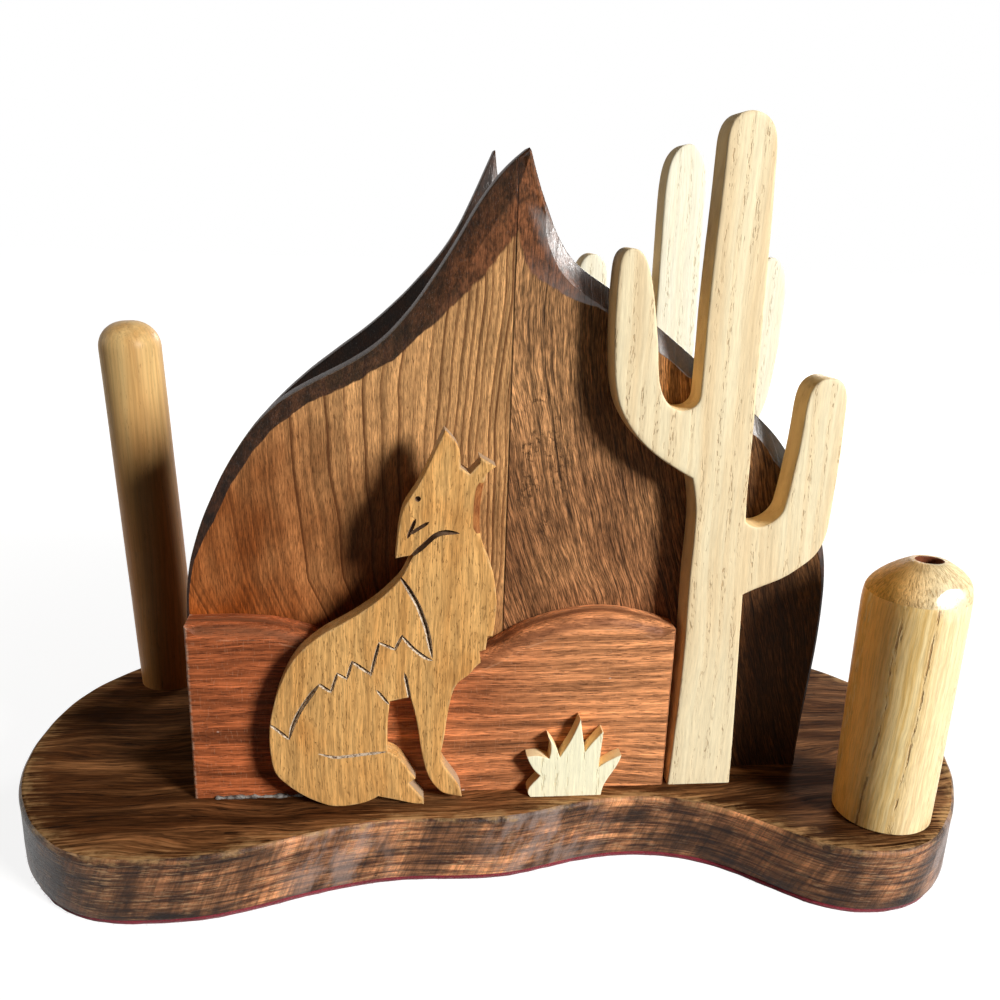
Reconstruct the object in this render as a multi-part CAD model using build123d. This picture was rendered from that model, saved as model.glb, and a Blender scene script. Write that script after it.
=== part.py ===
"""Wooden desert napkin holder.

Two mountain panels stand on a wavy base board and hold napkins between them. A hill,
a howling coyote, a saguaro and an agave are fixed to the front, a second saguaro to
the back. A tall peg and a lift-off toothpick cup stand on the base.

Millimetres. X runs to the right, Y to the back and Z up. The origin is under the
middle of the base, on the surface that the felt rests on.
"""
import os

from build123d import *

# Base board and felt
base_length = 293.0
base_depth = 144.0
base_thickness = 19.0
base_arris = 1.2
felt_thickness = 1.5
felt_inset = 0.5

# Mountain panels
panel_width = 186.0
front_panel_height = 179.4
rear_panel_height = 181.4
panel_thickness = 12.7
panel_chamfer_width = 5.0
panel_chamfer_depth = 2.5
panel_glue_line = -3.0
napkin_gap = 25.4

# Hill
hill_width = 137.7
hill_height = 55.2
hill_thickness = 9.5
hill_round = 3.5
hill_end_inset = 1.6

# Coyote
coyote_length = 62.2
coyote_height = 109.7
coyote_thickness = 6.5

# Saguaros
front_cactus_span = 66.1
front_cactus_height = 189.4
rear_cactus_span = 69.0
rear_cactus_height = 185.4
cactus_thickness = 9.5
cactus_gap = 1.4

# Agave
agave_width = 28.1
agave_height = 25.5
agave_thickness = 4.5

# Peg
peg_diameter = 19.5
peg_height = 126.5
peg_seat_depth = 12.0
peg_lean = 2.5

# Toothpick cup and the pin that it stands over
cup_diameter = 27.7
cup_shoulder_diameter = 28.6
cup_height = 77.5
cup_cone_height = 8.4
cup_rim_width = 2.8
cup_bore = 7.0
cup_bore_shift = 2.1
cup_bore_depth = 52.0
pin_diameter = 8.0
pin_seat_depth = 10.0
pin_stand = 8.0
pin_end_room = 1.0
pin_end_chamfer = 0.8

# Screws
screw_diameter = 4.2
screw_length = 36.0
screw_tip_length = 5.0
screw_head_diameter = 8.2
screw_slot_width = 1.2
screw_slot_depth = 1.1

# Fits, radial
glue_clearance = 0.1
cup_clearance = 0.25
screw_clearance = 0.2

# Cuts run past the wood by this much
overrun = 5.0

# Places, as shares of what carries the piece
peg_place_shares = (-0.777, 0.613)
cup_place_shares = (0.7345, -0.711)
coyote_place_share = 0.163
agave_place_share = 0.691
rear_cactus_place_share = 0.238
screw_place_shares = (-0.72, -0.28, 0.28, 0.72)
peg_dome_share = 0.43

# Outlines are runs of points, each run starting where the one before it ends. A run of
# one point is a straight cut and a longer one is a smooth curve. The points are shares
# of the piece's own width and height.

# Base, seen from above, in shares of its half length and half depth
base_shares = [
    (-1.0, 0.02), (-0.962, -0.44), (-0.89, -0.69), (-0.835, -0.797), (-0.77, -0.86),
    (-0.68, -0.882), (-0.57, -0.867), (-0.41, -0.765), (-0.21, -0.682), (-0.02, -0.685),
    (0.095, -0.622), (0.26, -0.574), (0.41, -0.67), (0.535, -0.885), (0.60, -0.968),
    (0.683, -1.0), (0.765, -0.963), (0.828, -0.87), (0.934, -0.566), (1.0, -0.12),
    (0.985, 0.195), (0.926, 0.45), (0.82, 0.685), (0.66, 0.815), (0.50, 0.80),
    (0.36, 0.73), (0.20, 0.685), (0.02, 0.685), (-0.10, 0.622), (-0.26, 0.585),
    (-0.41, 0.675), (-0.535, 0.88), (-0.60, 0.968), (-0.683, 1.0), (-0.765, 0.95),
    (-0.83, 0.83), (-0.938, 0.562), (-0.985, 0.305),
]

# The sides of the two mountains, from the foot up to the peak, in shares of the half
# width and of the panel's own height
front_left_shares = [
    (-0.97, 0.0), (-0.986, 0.16), (-0.993, 0.30), (-0.973, 0.386), (-0.922, 0.463),
    (-0.814, 0.567), (-0.695, 0.632), (-0.526, 0.681), (-0.413, 0.719), (-0.301, 0.784),
    (-0.193, 0.870), (-0.129, 0.926), (0.0, 1.0),
]
front_right_shares = [
    (0.985, 0.0), (1.0, 0.17), (1.007, 0.32), (0.988, 0.4025), (0.921, 0.485),
    (0.82, 0.571), (0.66, 0.647), (0.505, 0.711), (0.3855, 0.758), (0.2405, 0.81),
    (0.133, 0.848), (0.074, 0.896), (0.036, 0.943), (0.0, 1.0),
]
rear_left_shares = [
    (-0.985, 0.0), (-0.998, 0.17), (-1.0, 0.31), (-0.98, 0.39), (-0.915, 0.475),
    (-0.817, 0.55), (-0.687, 0.619), (-0.552, 0.674), (-0.418, 0.728), (-0.286, 0.7945),
    (-0.188, 0.857), (-0.126, 0.917), (-0.09, 0.958), (-0.054, 1.0),
]
rear_right_shares = [
    (0.97, 0.0), (0.986, 0.16), (0.993, 0.30), (0.97, 0.386), (0.915, 0.463),
    (0.80, 0.567), (0.68, 0.632), (0.508, 0.681), (0.393, 0.719), (0.275, 0.784),
    (0.15, 0.832), (0.055, 0.862), (-0.008, 0.898), (-0.038, 0.942), (-0.054, 1.0),
]

hill_top_shares = [
    (0.071, 0.969), (0.149, 0.961), (0.226, 0.921), (0.285, 0.859), (0.37, 0.76),
    (0.45, 0.715), (0.54, 0.745), (0.620, 0.819), (0.670, 0.895), (0.731, 0.954),
    (0.793, 0.991), (0.856, 1.0), (0.920, 0.976), (1.0, 0.917),
]
hill_left_share = (0.0, 0.966)

coyote_shares = [
    [(0.791, 0.984), (0.821, 0.960), (0.829, 0.948)],
    [(0.831, 0.909)],
    [(0.869, 0.895)],
    [(0.910, 0.922)],
    [(0.909, 0.936)],
    [(0.981, 0.912)],
    [(0.940, 0.895)],
    [(0.922, 0.84), (0.917, 0.79), (0.922, 0.743), (0.937, 0.710), (0.964, 0.674),
     (0.988, 0.627), (1.0, 0.574), (0.995, 0.507), (0.988, 0.474)],
    [(0.966, 0.475)],
    [(0.958, 0.439)],
    [(0.932, 0.434)],
    [(0.938, 0.404)],
    [(0.912, 0.390), (0.890, 0.371), (0.855, 0.357), (0.824, 0.335)],
    [(0.807, 0.302), (0.791, 0.245), (0.779, 0.188), (0.762, 0.139)],
    [(0.795, 0.100), (0.833, 0.069), (0.862, 0.039), (0.867, 0.018)],
    [(0.779, 0.029)],
    [(0.718, 0.072), (0.690, 0.116), (0.671, 0.175), (0.647, 0.262), (0.624, 0.310)],
    [(0.536, 0.300)],
    [(0.526, 0.24), (0.526, 0.157)],
    [(0.558, 0.148), (0.603, 0.118), (0.654, 0.076)],
    [(0.622, 0.062)],
    [(0.649, 0.043), (0.691, 0.012)],
    [(0.691, 0.0)],
    [(0.650, 0.0)],
    [(0.558, 0.015), (0.480, 0.026)],
    [(0.444, 0.014), (0.38, 0.003), (0.33, 0.0)],
    [(0.27, 0.0)],
    [(0.217, 0.012), (0.128, 0.041), (0.063, 0.072), (0.025, 0.099), (0.005, 0.143),
     (0.0, 0.194), (0.014, 0.270), (0.039, 0.325), (0.072, 0.374), (0.117, 0.420),
     (0.183, 0.460), (0.257, 0.491), (0.343, 0.519), (0.429, 0.551), (0.493, 0.579),
     (0.549, 0.610), (0.583, 0.633), (0.609, 0.662), (0.634, 0.690)],
    [(0.596, 0.687), (0.558, 0.682)],
    [(0.566, 0.731), (0.574, 0.768), (0.595, 0.813), (0.628, 0.843), (0.665, 0.879),
     (0.702, 0.923), (0.734, 0.964), (0.762, 1.0)],
]

front_cactus_foot_share = 0.385
front_cactus_shares = [
    [(0.400, 0.132), (0.403, 0.274), (0.398, 0.364), (0.393, 0.468), (0.370, 0.504)],
    [(0.272, 0.523), (0.138, 0.559), (0.045, 0.606), (0.008, 0.673), (0.0, 0.74),
     (0.003, 0.795), (0.018, 0.816), (0.052, 0.823), (0.093, 0.817), (0.123, 0.80),
     (0.148, 0.768), (0.169, 0.728), (0.190, 0.674), (0.207, 0.635), (0.237, 0.615),
     (0.275, 0.605), (0.319, 0.603), (0.357, 0.609), (0.373, 0.624)],
    [(0.373, 0.66), (0.372, 0.757), (0.380, 0.868), (0.385, 0.952), (0.394, 0.980),
     (0.42, 0.994), (0.470, 1.0), (0.53, 0.995), (0.568, 0.981), (0.583, 0.955),
     (0.588, 0.921), (0.597, 0.799), (0.605, 0.662), (0.613, 0.533), (0.616, 0.473),
     (0.622, 0.439)],
    [(0.673, 0.430), (0.707, 0.432), (0.748, 0.440), (0.782, 0.457)],
    [(0.803, 0.511), (0.818, 0.563), (0.827, 0.618), (0.842, 0.638), (0.875, 0.649),
     (0.92, 0.653), (0.964, 0.649), (0.990, 0.634), (0.998, 0.60), (1.0, 0.563),
     (0.998, 0.503), (0.993, 0.450), (0.979, 0.408), (0.946, 0.385), (0.886, 0.366),
     (0.803, 0.347), (0.717, 0.335), (0.645, 0.323)],
    [(0.655, 0.233), (0.668, 0.130), (0.680, 0.0)],
]

rear_cactus_foot_share = 0.355
rear_cactus_shares = [
    [(0.372, 0.16), (0.376, 0.32), (0.372, 0.44), (0.36, 0.472)],
    [(0.26, 0.49), (0.12, 0.52), (0.035, 0.57), (0.003, 0.64), (0.0, 0.72), (0.01, 0.785),
     (0.035, 0.812), (0.08, 0.821), (0.125, 0.812), (0.15, 0.785), (0.16, 0.72),
     (0.17, 0.65), (0.205, 0.603), (0.28, 0.582), (0.355, 0.597), (0.385, 0.63)],
    [(0.388, 0.75), (0.386, 0.88), (0.392, 0.95), (0.425, 0.987), (0.483, 1.0),
     (0.54, 0.987), (0.573, 0.95), (0.578, 0.88), (0.583, 0.75), (0.588, 0.63)],
    [(0.62, 0.597), (0.70, 0.578), (0.79, 0.60), (0.83, 0.65), (0.845, 0.72),
     (0.852, 0.787), (0.878, 0.814), (0.922, 0.824), (0.966, 0.814), (0.993, 0.787),
     (1.0, 0.72), (0.988, 0.63), (0.94, 0.545), (0.83, 0.487), (0.70, 0.46), (0.602, 0.448)],
    [(0.602, 0.3), (0.607, 0.14), (0.615, 0.0)],
]

agave_shares = [
    [(0.114, 0.530), (0.231, 0.488)],
    [(0.246, 0.628), (0.197, 0.795)],
    [(0.263, 0.704), (0.345, 0.510)],
    [(0.422, 0.661), (0.541, 1.0)],
    [(0.573, 0.784), (0.605, 0.566)],
    [(0.702, 0.717), (0.790, 0.829)],
    [(0.780, 0.65), (0.764, 0.366)],
    [(0.876, 0.453), (1.0, 0.514)],
    [(0.927, 0.321), (0.832, 0.128), (0.806, 0.0)],
    [(0.051, 0.0)],
    [(0.017, 0.053), (0.076, 0.182), (0.146, 0.271)],
    [(0.058, 0.377), (0.0, 0.521)],
]

# Planes that the pieces share
deck = felt_thickness + base_thickness
rear_panel_front = napkin_gap / 2
rear_panel_back = rear_panel_front + panel_thickness
front_panel_front = -rear_panel_back
hill_front = front_panel_front - hill_thickness
panel_half = panel_width / 2
hill_left = hill_end_inset - panel_half
hill_right = hill_left + hill_width
peg_spot = (peg_place_shares[0] * base_length / 2, peg_place_shares[1] * base_depth / 2)
cup_spot = (cup_place_shares[0] * base_length / 2, cup_place_shares[1] * base_depth / 2)
screw_rows = {"front": (front_panel_front - rear_panel_front) / 2,
              "rear": (rear_panel_front + rear_panel_back) / 2}


def run_edge(points):
    """One run of an outline: a straight cut or a smooth curve."""
    if len(points) == 2:
        return Line(*points)
    return Spline(*points)


def cut_board(runs, place, thickness):
    """A board standing on edge, sawn along an outline and as deep as its thickness."""
    start = runs[-1][-1]
    edges = []
    for run in runs:
        edges.append(run_edge([place(*share) for share in [start, *run]]))
        start = run[-1]
    return extrude(Face(Wire(edges)), amount=thickness, dir=(0, 1, 0))


def standing(left, front, width, height):
    """Turns shares of a piece's width and height into points on its front plane."""
    return lambda across, up: Vector(left + across * width, front, deck + up * height)


def base_outline(inset):
    """The base's outline on the ground plane, drawn in by an inset."""
    half_length = base_length / 2 - inset
    half_depth = base_depth / 2 - inset
    points = [Vector(across * half_length, back * half_depth, 0) for across, back in base_shares]
    return Face(Wire([Spline(*points, periodic=True)]))


def upright(radius, bottom, top, spot):
    """A round bar or hole that stands at a spot."""
    bar = Cylinder(radius, top - bottom, align=(Align.CENTER, Align.CENTER, Align.MIN))
    return Pos(spot[0], spot[1], bottom) * bar


def leaned(shape):
    """The peg and its hole lean outwards about the point where they enter the base."""
    foot = Axis((peg_spot[0], peg_spot[1], deck), (0, 1, 0))
    return shape.rotate(foot, -peg_lean)


def screw_profile(radius_room, end_room):
    """Half section of a screw, or of its hole when given some room."""
    shank = screw_diameter / 2 + radius_room
    head = screw_head_diameter / 2 + radius_room
    taper_end = felt_thickness + head - shank
    tip = felt_thickness + screw_length + end_room
    points = [(0, felt_thickness), (head, felt_thickness), (shank, taper_end),
              (shank, tip - screw_tip_length), (0, tip)]
    corners = [Vector(across, 0, up) for across, up in points]
    return Face(Wire.make_polygon(corners, close=True))


def turned(profile, spot):
    """A round piece turned from its half section."""
    return Pos(spot[0], spot[1], 0) * revolve(profile, Axis.Z)


def screw_spots(row):
    """Places of one panel's screws along its foot."""
    return [(share * panel_half, screw_rows[row]) for share in screw_place_shares]


def screw_holes():
    """All screw holes, cut through the base and into the panels."""
    hole = screw_profile(screw_clearance, screw_clearance)
    return [turned(hole, spot) for row in screw_rows for spot in screw_spots(row)]


def make_screws(row):
    """One panel's screws, with a slot across each head."""
    slot = Box(screw_head_diameter, screw_slot_width, 2 * screw_slot_depth)
    blank = turned(screw_profile(0, 0), (0, 0)) - Pos(0, 0, felt_thickness) * slot
    return [Pos(*spot, 0) * blank for spot in screw_spots(row)]


def make_felt():
    """The felt, a little smaller than the base."""
    return extrude(base_outline(felt_inset), amount=felt_thickness, dir=(0, 0, 1))


def make_base():
    """The base board, with its holes for the peg, the pin and the screws."""
    board = extrude(base_outline(0), amount=base_thickness, dir=(0, 0, 1))
    board = Pos(0, 0, felt_thickness) * board
    board = fillet(board.edges().group_by(Axis.Z)[-1], base_arris)
    peg_bore = peg_diameter / 2 + glue_clearance
    pin_bore = pin_diameter / 2 + glue_clearance
    peg_hole = upright(peg_bore, deck - peg_seat_depth, deck + overrun, peg_spot)
    pin_hole = upright(pin_bore, deck - pin_seat_depth, deck + overrun, cup_spot)
    for hole in [leaned(peg_hole), pin_hole, *screw_holes()]:
        board -= hole
    return board


def make_panel(front, height, left_shares, right_shares, chamfered_faces):
    """One mountain panel, chamfered along its two sides and drilled for its screws."""
    def place(across, up):
        return Vector(across * panel_half, front, deck + up * height)

    runs = [left_shares[1:], right_shares[-2::-1], left_shares[:1]]
    panel = cut_board(runs, place, panel_thickness)
    for face_index in chamfered_faces:
        face = panel.faces().sort_by(Axis.Y)[face_index]
        rim = face.edges().sort_by(Axis.Z)[1:]
        panel = chamfer(rim, panel_chamfer_width, panel_chamfer_depth, reference=face)
    for hole in screw_holes():
        panel -= hole
    return panel


def split_panel(panel, glue_line):
    """The left and the right board of a panel."""
    seam = Plane(origin=(glue_line, 0, 0), x_dir=(0, 1, 0), z_dir=(1, 0, 0))
    right = split(panel, bisect_by=seam, keep=Keep.TOP)
    left = split(panel, bisect_by=seam, keep=Keep.BOTTOM)
    return left, right


def make_hill():
    """The low hill in front of the front panel, rounded along its crest."""
    runs = [hill_top_shares, [(1.0, 0.0)], [(0.0, 0.0)], [hill_left_share]]
    place = standing(hill_left, hill_front, hill_width, hill_height)
    hill = cut_board(runs, place, hill_thickness)
    crest = hill.faces().sort_by(Axis.Y)[0].edges().sort_by(Axis.Z)[-1]
    return fillet(crest, hill_round)


def make_coyote():
    """The coyote cut-out, on the hill's face."""
    left = hill_left + coyote_place_share * hill_width
    front = hill_front - coyote_thickness
    place = standing(left, front, coyote_length, coyote_height)
    return cut_board(coyote_shares, place, coyote_thickness)


def make_agave():
    """The agave cut-out, on the hill's face."""
    left = hill_left + agave_place_share * hill_width
    front = hill_front - agave_thickness
    place = standing(left, front, agave_width, agave_height)
    return cut_board(agave_shares, place, agave_thickness)


def make_front_cactus():
    """The saguaro beside the hill, on the front panel's face."""
    left = hill_right + cactus_gap - front_cactus_foot_share * front_cactus_span
    front = front_panel_front - cactus_thickness
    runs = [*front_cactus_shares, [(front_cactus_foot_share, 0.0)]]
    place = standing(left, front, front_cactus_span, front_cactus_height)
    return cut_board(runs, place, cactus_thickness)


def make_rear_cactus():
    """The saguaro on the rear panel's back."""
    left = rear_cactus_place_share * panel_half
    runs = [*rear_cactus_shares, [(rear_cactus_foot_share, 0.0)]]
    place = standing(left, rear_panel_back, rear_cactus_span, rear_cactus_height)
    return cut_board(runs, place, cactus_thickness)


def make_peg():
    """The tall peg, with its domed top and its end down in the base."""
    peg = upright(peg_diameter / 2, deck - peg_seat_depth, deck + peg_height, peg_spot)
    peg = fillet(peg.edges().sort_by(Axis.Z)[-1], peg_dome_share * peg_diameter)
    return leaned(peg)


def make_cup():
    """The cup, with a hole from above for toothpicks and one from below for the pin."""
    rim_radius = cup_bore / 2 + cup_rim_width
    shoulder = deck + cup_height - cup_cone_height
    top = deck + cup_height
    points = [(0, deck), (cup_diameter / 2, deck), (cup_shoulder_diameter / 2, shoulder),
              (rim_radius, top), (0, top)]
    corners = [Vector(across, 0, up) for across, up in points]
    cup = turned(Face(Wire.make_polygon(corners, close=True)), cup_spot)
    pin_room_top = deck + pin_stand + pin_end_room
    bore_spot = (cup_spot[0] + cup_bore_shift, cup_spot[1])
    cup -= upright(cup_bore / 2, top - cup_bore_depth, top + overrun, bore_spot)
    cup -= upright(pin_diameter / 2 + cup_clearance, deck - overrun, pin_room_top, cup_spot)
    return cup


def make_pin():
    """The pin, half of it down in the base."""
    pin = upright(pin_diameter / 2, deck - pin_seat_depth, deck + pin_stand, cup_spot)
    return chamfer(pin.edges().sort_by(Axis.Z)[-1], pin_end_chamfer)


def make_all():
    """Every piece under its name. A group of alike pieces is a list of solids."""
    pieces = {"base_board": make_base(), "felt_pad": make_felt()}
    front_panel = make_panel(front_panel_front, front_panel_height, front_left_shares,
                             front_right_shares, [0])
    rear_panel = make_panel(rear_panel_front, rear_panel_height, rear_left_shares,
                            rear_right_shares, [0, -1])
    panels = (("front", front_panel, panel_glue_line), ("rear", rear_panel, -panel_glue_line))
    for side, panel, glue_line in panels:
        left, right = split_panel(panel, glue_line)
        pieces[f"{side}_panel_left_board"] = left
        pieces[f"{side}_panel_right_board"] = right
        pieces[f"{side}_panel_screws"] = make_screws(side)
    pieces["hill_panel"] = make_hill()
    pieces["coyote"] = make_coyote()
    pieces["front_cactus"] = make_front_cactus()
    pieces["rear_cactus"] = make_rear_cactus()
    pieces["agave_bush"] = make_agave()
    pieces["ring_peg"] = make_peg()
    pieces["toothpick_cup"] = make_cup()
    pieces["cup_pin"] = make_pin()
    return pieces


os.makedirs("parts", exist_ok=True)
for name, piece in make_all().items():
    solids = piece if isinstance(piece, list) else [piece]
    if len(solids) > 1:
        export_step(Compound(children=solids), f"parts/{name}.step")
    else:
        export_step(solids[0], f"parts/{name}.step")
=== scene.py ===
"""Looks of the desert napkin holder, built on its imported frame.

Metres, in the frame of the CAD model: X to the right, Y to the back, Z up. The front
faces -Y, and the top of the base is the deck that everything stands on. Outlines are
worked out in millimetres and turned into metres when a skin is made.
"""
import math

import bmesh
import bpy
import numpy as np
from mathutils import Matrix, Vector, noise


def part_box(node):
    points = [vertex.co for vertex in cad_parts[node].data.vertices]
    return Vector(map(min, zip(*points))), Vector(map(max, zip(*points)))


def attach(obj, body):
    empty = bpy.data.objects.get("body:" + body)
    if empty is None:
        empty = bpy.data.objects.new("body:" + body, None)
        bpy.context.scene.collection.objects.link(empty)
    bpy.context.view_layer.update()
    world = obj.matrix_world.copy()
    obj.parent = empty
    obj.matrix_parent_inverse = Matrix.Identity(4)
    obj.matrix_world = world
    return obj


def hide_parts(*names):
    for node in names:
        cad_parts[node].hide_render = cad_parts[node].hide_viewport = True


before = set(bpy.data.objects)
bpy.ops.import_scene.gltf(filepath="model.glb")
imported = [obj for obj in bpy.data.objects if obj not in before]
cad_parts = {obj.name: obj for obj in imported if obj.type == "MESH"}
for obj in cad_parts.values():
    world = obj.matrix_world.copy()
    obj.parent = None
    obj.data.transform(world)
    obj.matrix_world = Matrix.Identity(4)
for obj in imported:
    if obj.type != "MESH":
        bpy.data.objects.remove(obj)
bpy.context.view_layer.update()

mm = 0.001
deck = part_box("base_board")[1][2] / mm


def span(node):
    """Lowest and highest corner of a CAD node, in millimetres."""
    low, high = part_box(node)
    return np.array(low) / mm, np.array(high) / mm


# Outlines

def sawn_loop(node, axis, place, seen):
    """The outline that a saw cut across one axis leaves on a CAD node, seen along the
    other two, anticlockwise."""
    cut = bmesh.new()
    cut.from_mesh(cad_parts[node].data)
    bmesh.ops.remove_doubles(cut, verts=cut.verts, dist=2e-6)
    point, normal = Vector(), Vector()
    point[axis], normal[axis] = place * mm, 1
    met = bmesh.ops.bisect_plane(cut, geom=[*cut.verts, *cut.edges, *cut.faces],
                                 plane_co=point, plane_no=normal)
    beside = {}
    for part in met["geom_cut"]:
        if isinstance(part, bmesh.types.BMEdge):
            one, other = part.verts
            beside.setdefault(one, []).append(other)
            beside.setdefault(other, []).append(one)
    loops = []
    while beside:
        here, run = next(iter(beside)), []
        while here in beside:
            run.append([here.co[seen[0]] / mm, here.co[seen[1]] / mm])
            here = next((v for v in beside.pop(here) if v in beside), None)
        loops.append(np.array(run))
    cut.free()
    loop = max(loops, key=lambda run: np.linalg.norm(np.diff(run, axis=0), axis=1).sum())
    x, z = loop.T
    area = (x * np.roll(z, -1) - np.roll(x, -1) * z).sum()
    return loop if area > 0 else loop[::-1]


def even_run(run, step, passes=4):
    """Points about a step apart along an open run, eased between its two ends."""
    lengths = np.linalg.norm(np.diff(run, axis=0), axis=1)
    at = np.concatenate([[0], lengths.cumsum()])
    count = max(1, round(at[-1] / step))
    to = np.linspace(0, at[-1], count + 1)
    points = np.stack([np.interp(to, at, run[:, i]) for i in range(run.shape[1])], 1)
    for _ in range(passes):
        points[1:-1] = (points[:-2] + 2 * points[1:-1] + points[2:]) / 4
    return points


def even_loop(loop, step, corner=32):
    """The loop with points about a step apart and its sharp corners kept."""
    ahead = np.roll(loop, -1, 0) - loop
    loop = loop[np.linalg.norm(ahead, axis=1) > 1e-4]
    ahead = np.roll(loop, -1, 0) - loop
    angle = np.arctan2(ahead[:, 1], ahead[:, 0])
    turn = np.abs((angle - np.roll(angle, 1) + math.pi) % (2 * math.pi) - math.pi)
    corners = list(np.flatnonzero(turn > math.radians(corner))) or [0]
    runs = []
    for start, end in zip(corners, corners[1:] + [corners[0] + len(loop)]):
        runs.append(even_run(loop[np.arange(start, end + 1) % len(loop)], step)[:-1])
    return np.concatenate(runs)


def inset(loop, reach, foot=None):
    """The loop drawn in by a reach, one for all points or one each. Where the cut would
    cross itself its points gather on the nearest sound one. Points on the foot stay
    down on it."""
    count = len(loop)
    reach = np.broadcast_to(np.asarray(reach, float), count)
    ahead = np.roll(loop, -1, 0) - loop
    length = np.linalg.norm(ahead, axis=1)
    ahead = ahead / length[:, None]
    side = np.stack([-ahead[:, 1], ahead[:, 0]], 1)
    before = np.roll(side, 1, 0)
    mitre = (side + before) / np.maximum(0.3, 1 + (side * before).sum(1))[:, None]
    moved = loop + mitre * reach[:, None]
    down = loop[:, 1] < foot + 1e-3 if foot is not None else np.zeros(count, bool)
    offset = moved[:, None] - loop[None]
    along = np.clip((offset * ahead[None]).sum(2), 0, length[None])
    gap = np.linalg.norm(offset - along[..., None] * ahead[None], axis=2)
    gap[:, down & np.roll(down, -1)] = np.inf
    sound = (gap.min(1) >= 0.97 * reach - 1e-6) & ~down
    good = np.flatnonzero(sound)
    for i in np.flatnonzero(~sound & ~down):
        apart = np.abs(good - i)
        moved[i] = moved[good[np.minimum(apart, count - apart).argmin()]]
    for first in np.flatnonzero(down & ~np.roll(down, 1)):
        run = [first]
        while down[(run[-1] + 1) % count]:
            run.append((run[-1] + 1) % count)
        low, high = loop[first, 0] + reach[first], loop[run[-1], 0] - reach[run[-1]]
        moved[run, 0] = np.clip(loop[run, 0], min(low, high), max(low, high))
        moved[run, 1] = loop[run, 1]
    return moved


def sway(loop, period, seed):
    """A slow wander from 0 to 1 for each point of a loop."""
    return np.array([0.5 + 0.5 * noise.noise(Vector((x / period, z / period, seed)))
                     for x, z in loop])


def hand_cut(loop, depth, period, seed, foot=None):
    """The loop as a hand saw leaves it: drawn in a little, here more and there less."""
    cut = inset(loop, depth * sway(loop, period, seed), foot)
    return cut[np.linalg.norm(np.roll(cut, -1, 0) - cut, axis=1) > 1e-4]


def traced(node, axis, place, step, depth, period, seed):
    """A CAD node's outline as a hand saw leaves it. A cut across Y is that of a board
    standing on the deck, and a cut across Z that of a board lying down."""
    standing = axis == 1
    loop = even_loop(sawn_loop(node, axis, place, (0, 2) if standing else (0, 1)), step)
    return hand_cut(loop, depth, period, seed, deck if standing else None)


def quarter_round(*shares):
    """Each share of an eased edge's turn, with how far in and how far down it is there."""
    angles = [share * math.pi / 2 for share in shares]
    return [(share, 1 - math.cos(angle), 1 - math.sin(angle)) for share, angle in zip(shares, angles)]


def eased(value, low, high):
    """0 below low and 1 above high, with a soft step between."""
    share = np.clip((np.asarray(value, float) - low) / (high - low), 0, 1)
    return share * share * (3 - 2 * share)


# Skins

same_place = 1e-7


class Skin:
    """A closed surface put together ring by ring."""

    def __init__(self):
        self.mesh = bmesh.new()
        self.edge = self.mesh.verts.layers.float.new("edge")
        self.uv = self.mesh.loops.layers.uv.new("UVMap")

    def ring(self, points, edge=0.0):
        """One ring; neighbours in the same place share a point. edge is kept as an
        attribute that the finishes read."""
        edge = np.broadcast_to(np.asarray(edge, float), len(points))
        made = []
        for point, value in zip(points, edge):
            place = Vector(point) * mm
            if made and (made[-1].co - place).length < same_place:
                made.append(made[-1])
                continue
            made.append(self.mesh.verts.new(place))
            made[-1][self.edge] = value
        last = len(made) - 1
        while last and made[last] is not made[0] and (made[last].co - made[0].co).length < same_place:
            made[last] = made[0]
            last -= 1
        return made

    def upright(self, loop, y, edge=0.0, reach=None):
        """The ring of a standing board at a distance back, drawn in by a reach."""
        loop = loop if reach is None else inset(loop, reach, deck)
        y = np.broadcast_to(np.asarray(y, float), len(loop))
        return self.ring([(x, back, z) for (x, z), back in zip(loop, y)], edge)

    def level(self, loop, z, edge=0.0, reach=None):
        """The ring of a lying board at a height, drawn in by a reach."""
        loop = loop if reach is None else inset(loop, reach)
        z = np.broadcast_to(np.asarray(z, float), len(loop))
        return self.ring([(x, y, height) for (x, y), height in zip(loop, z)], edge)

    def band(self, low, high, finish=0, around=None, heights=None):
        """The strip between two rings. around and heights lay out its UV map."""
        count = len(low)
        for i in range(count):
            j = (i + 1) % count
            corners = []
            for vert, u, v in ((low[i], i, 0), (low[j], i + 1, 0), (high[j], i + 1, 1), (high[i], i, 1)):
                if all(vert is not other[0] for other in corners):
                    corners.append((vert, u, v))
            if len(corners) < 3:
                continue
            face = self.mesh.faces.new([corner[0] for corner in corners])
            face.smooth, face.material_index = True, finish
            if around is not None:
                for loop, (_, u, v) in zip(face.loops, corners):
                    loop[self.uv].uv = (around[u], heights[v])

    def cap(self, ring, finish=0):
        """A flat face that closes a ring."""
        face = self.mesh.faces.new([vert for i, vert in enumerate(ring) if vert is not ring[i - 1]])
        face.smooth, face.material_index = False, finish

    def stack(self, rings, finishes=None):
        """The strips between rings, each with its finish, and a cap at each end."""
        finishes = finishes or [0] * len(rings)
        self.cap(rings[0], finishes[0])
        for low, high, finish in zip(rings, rings[1:], finishes):
            self.band(low, high, finish)
        self.cap(rings[-1], finishes[-1])

    def piece(self, name, *finishes, sharp=40):
        """The finished skin as an object in the scene."""
        bmesh.ops.recalc_face_normals(self.mesh, faces=self.mesh.faces)
        return made_from(name, self.mesh, finishes, sharp)


def put_in_scene(name, data, finishes=(), sharp=None):
    """A mesh as an object with its finishes."""
    for finish in finishes:
        data.materials.append(finish)
    if sharp is not None:
        data.set_sharp_from_angle(angle=math.radians(sharp))
    made = bpy.data.objects.new(name, data)
    bpy.context.collection.objects.link(made)
    return made


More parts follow.
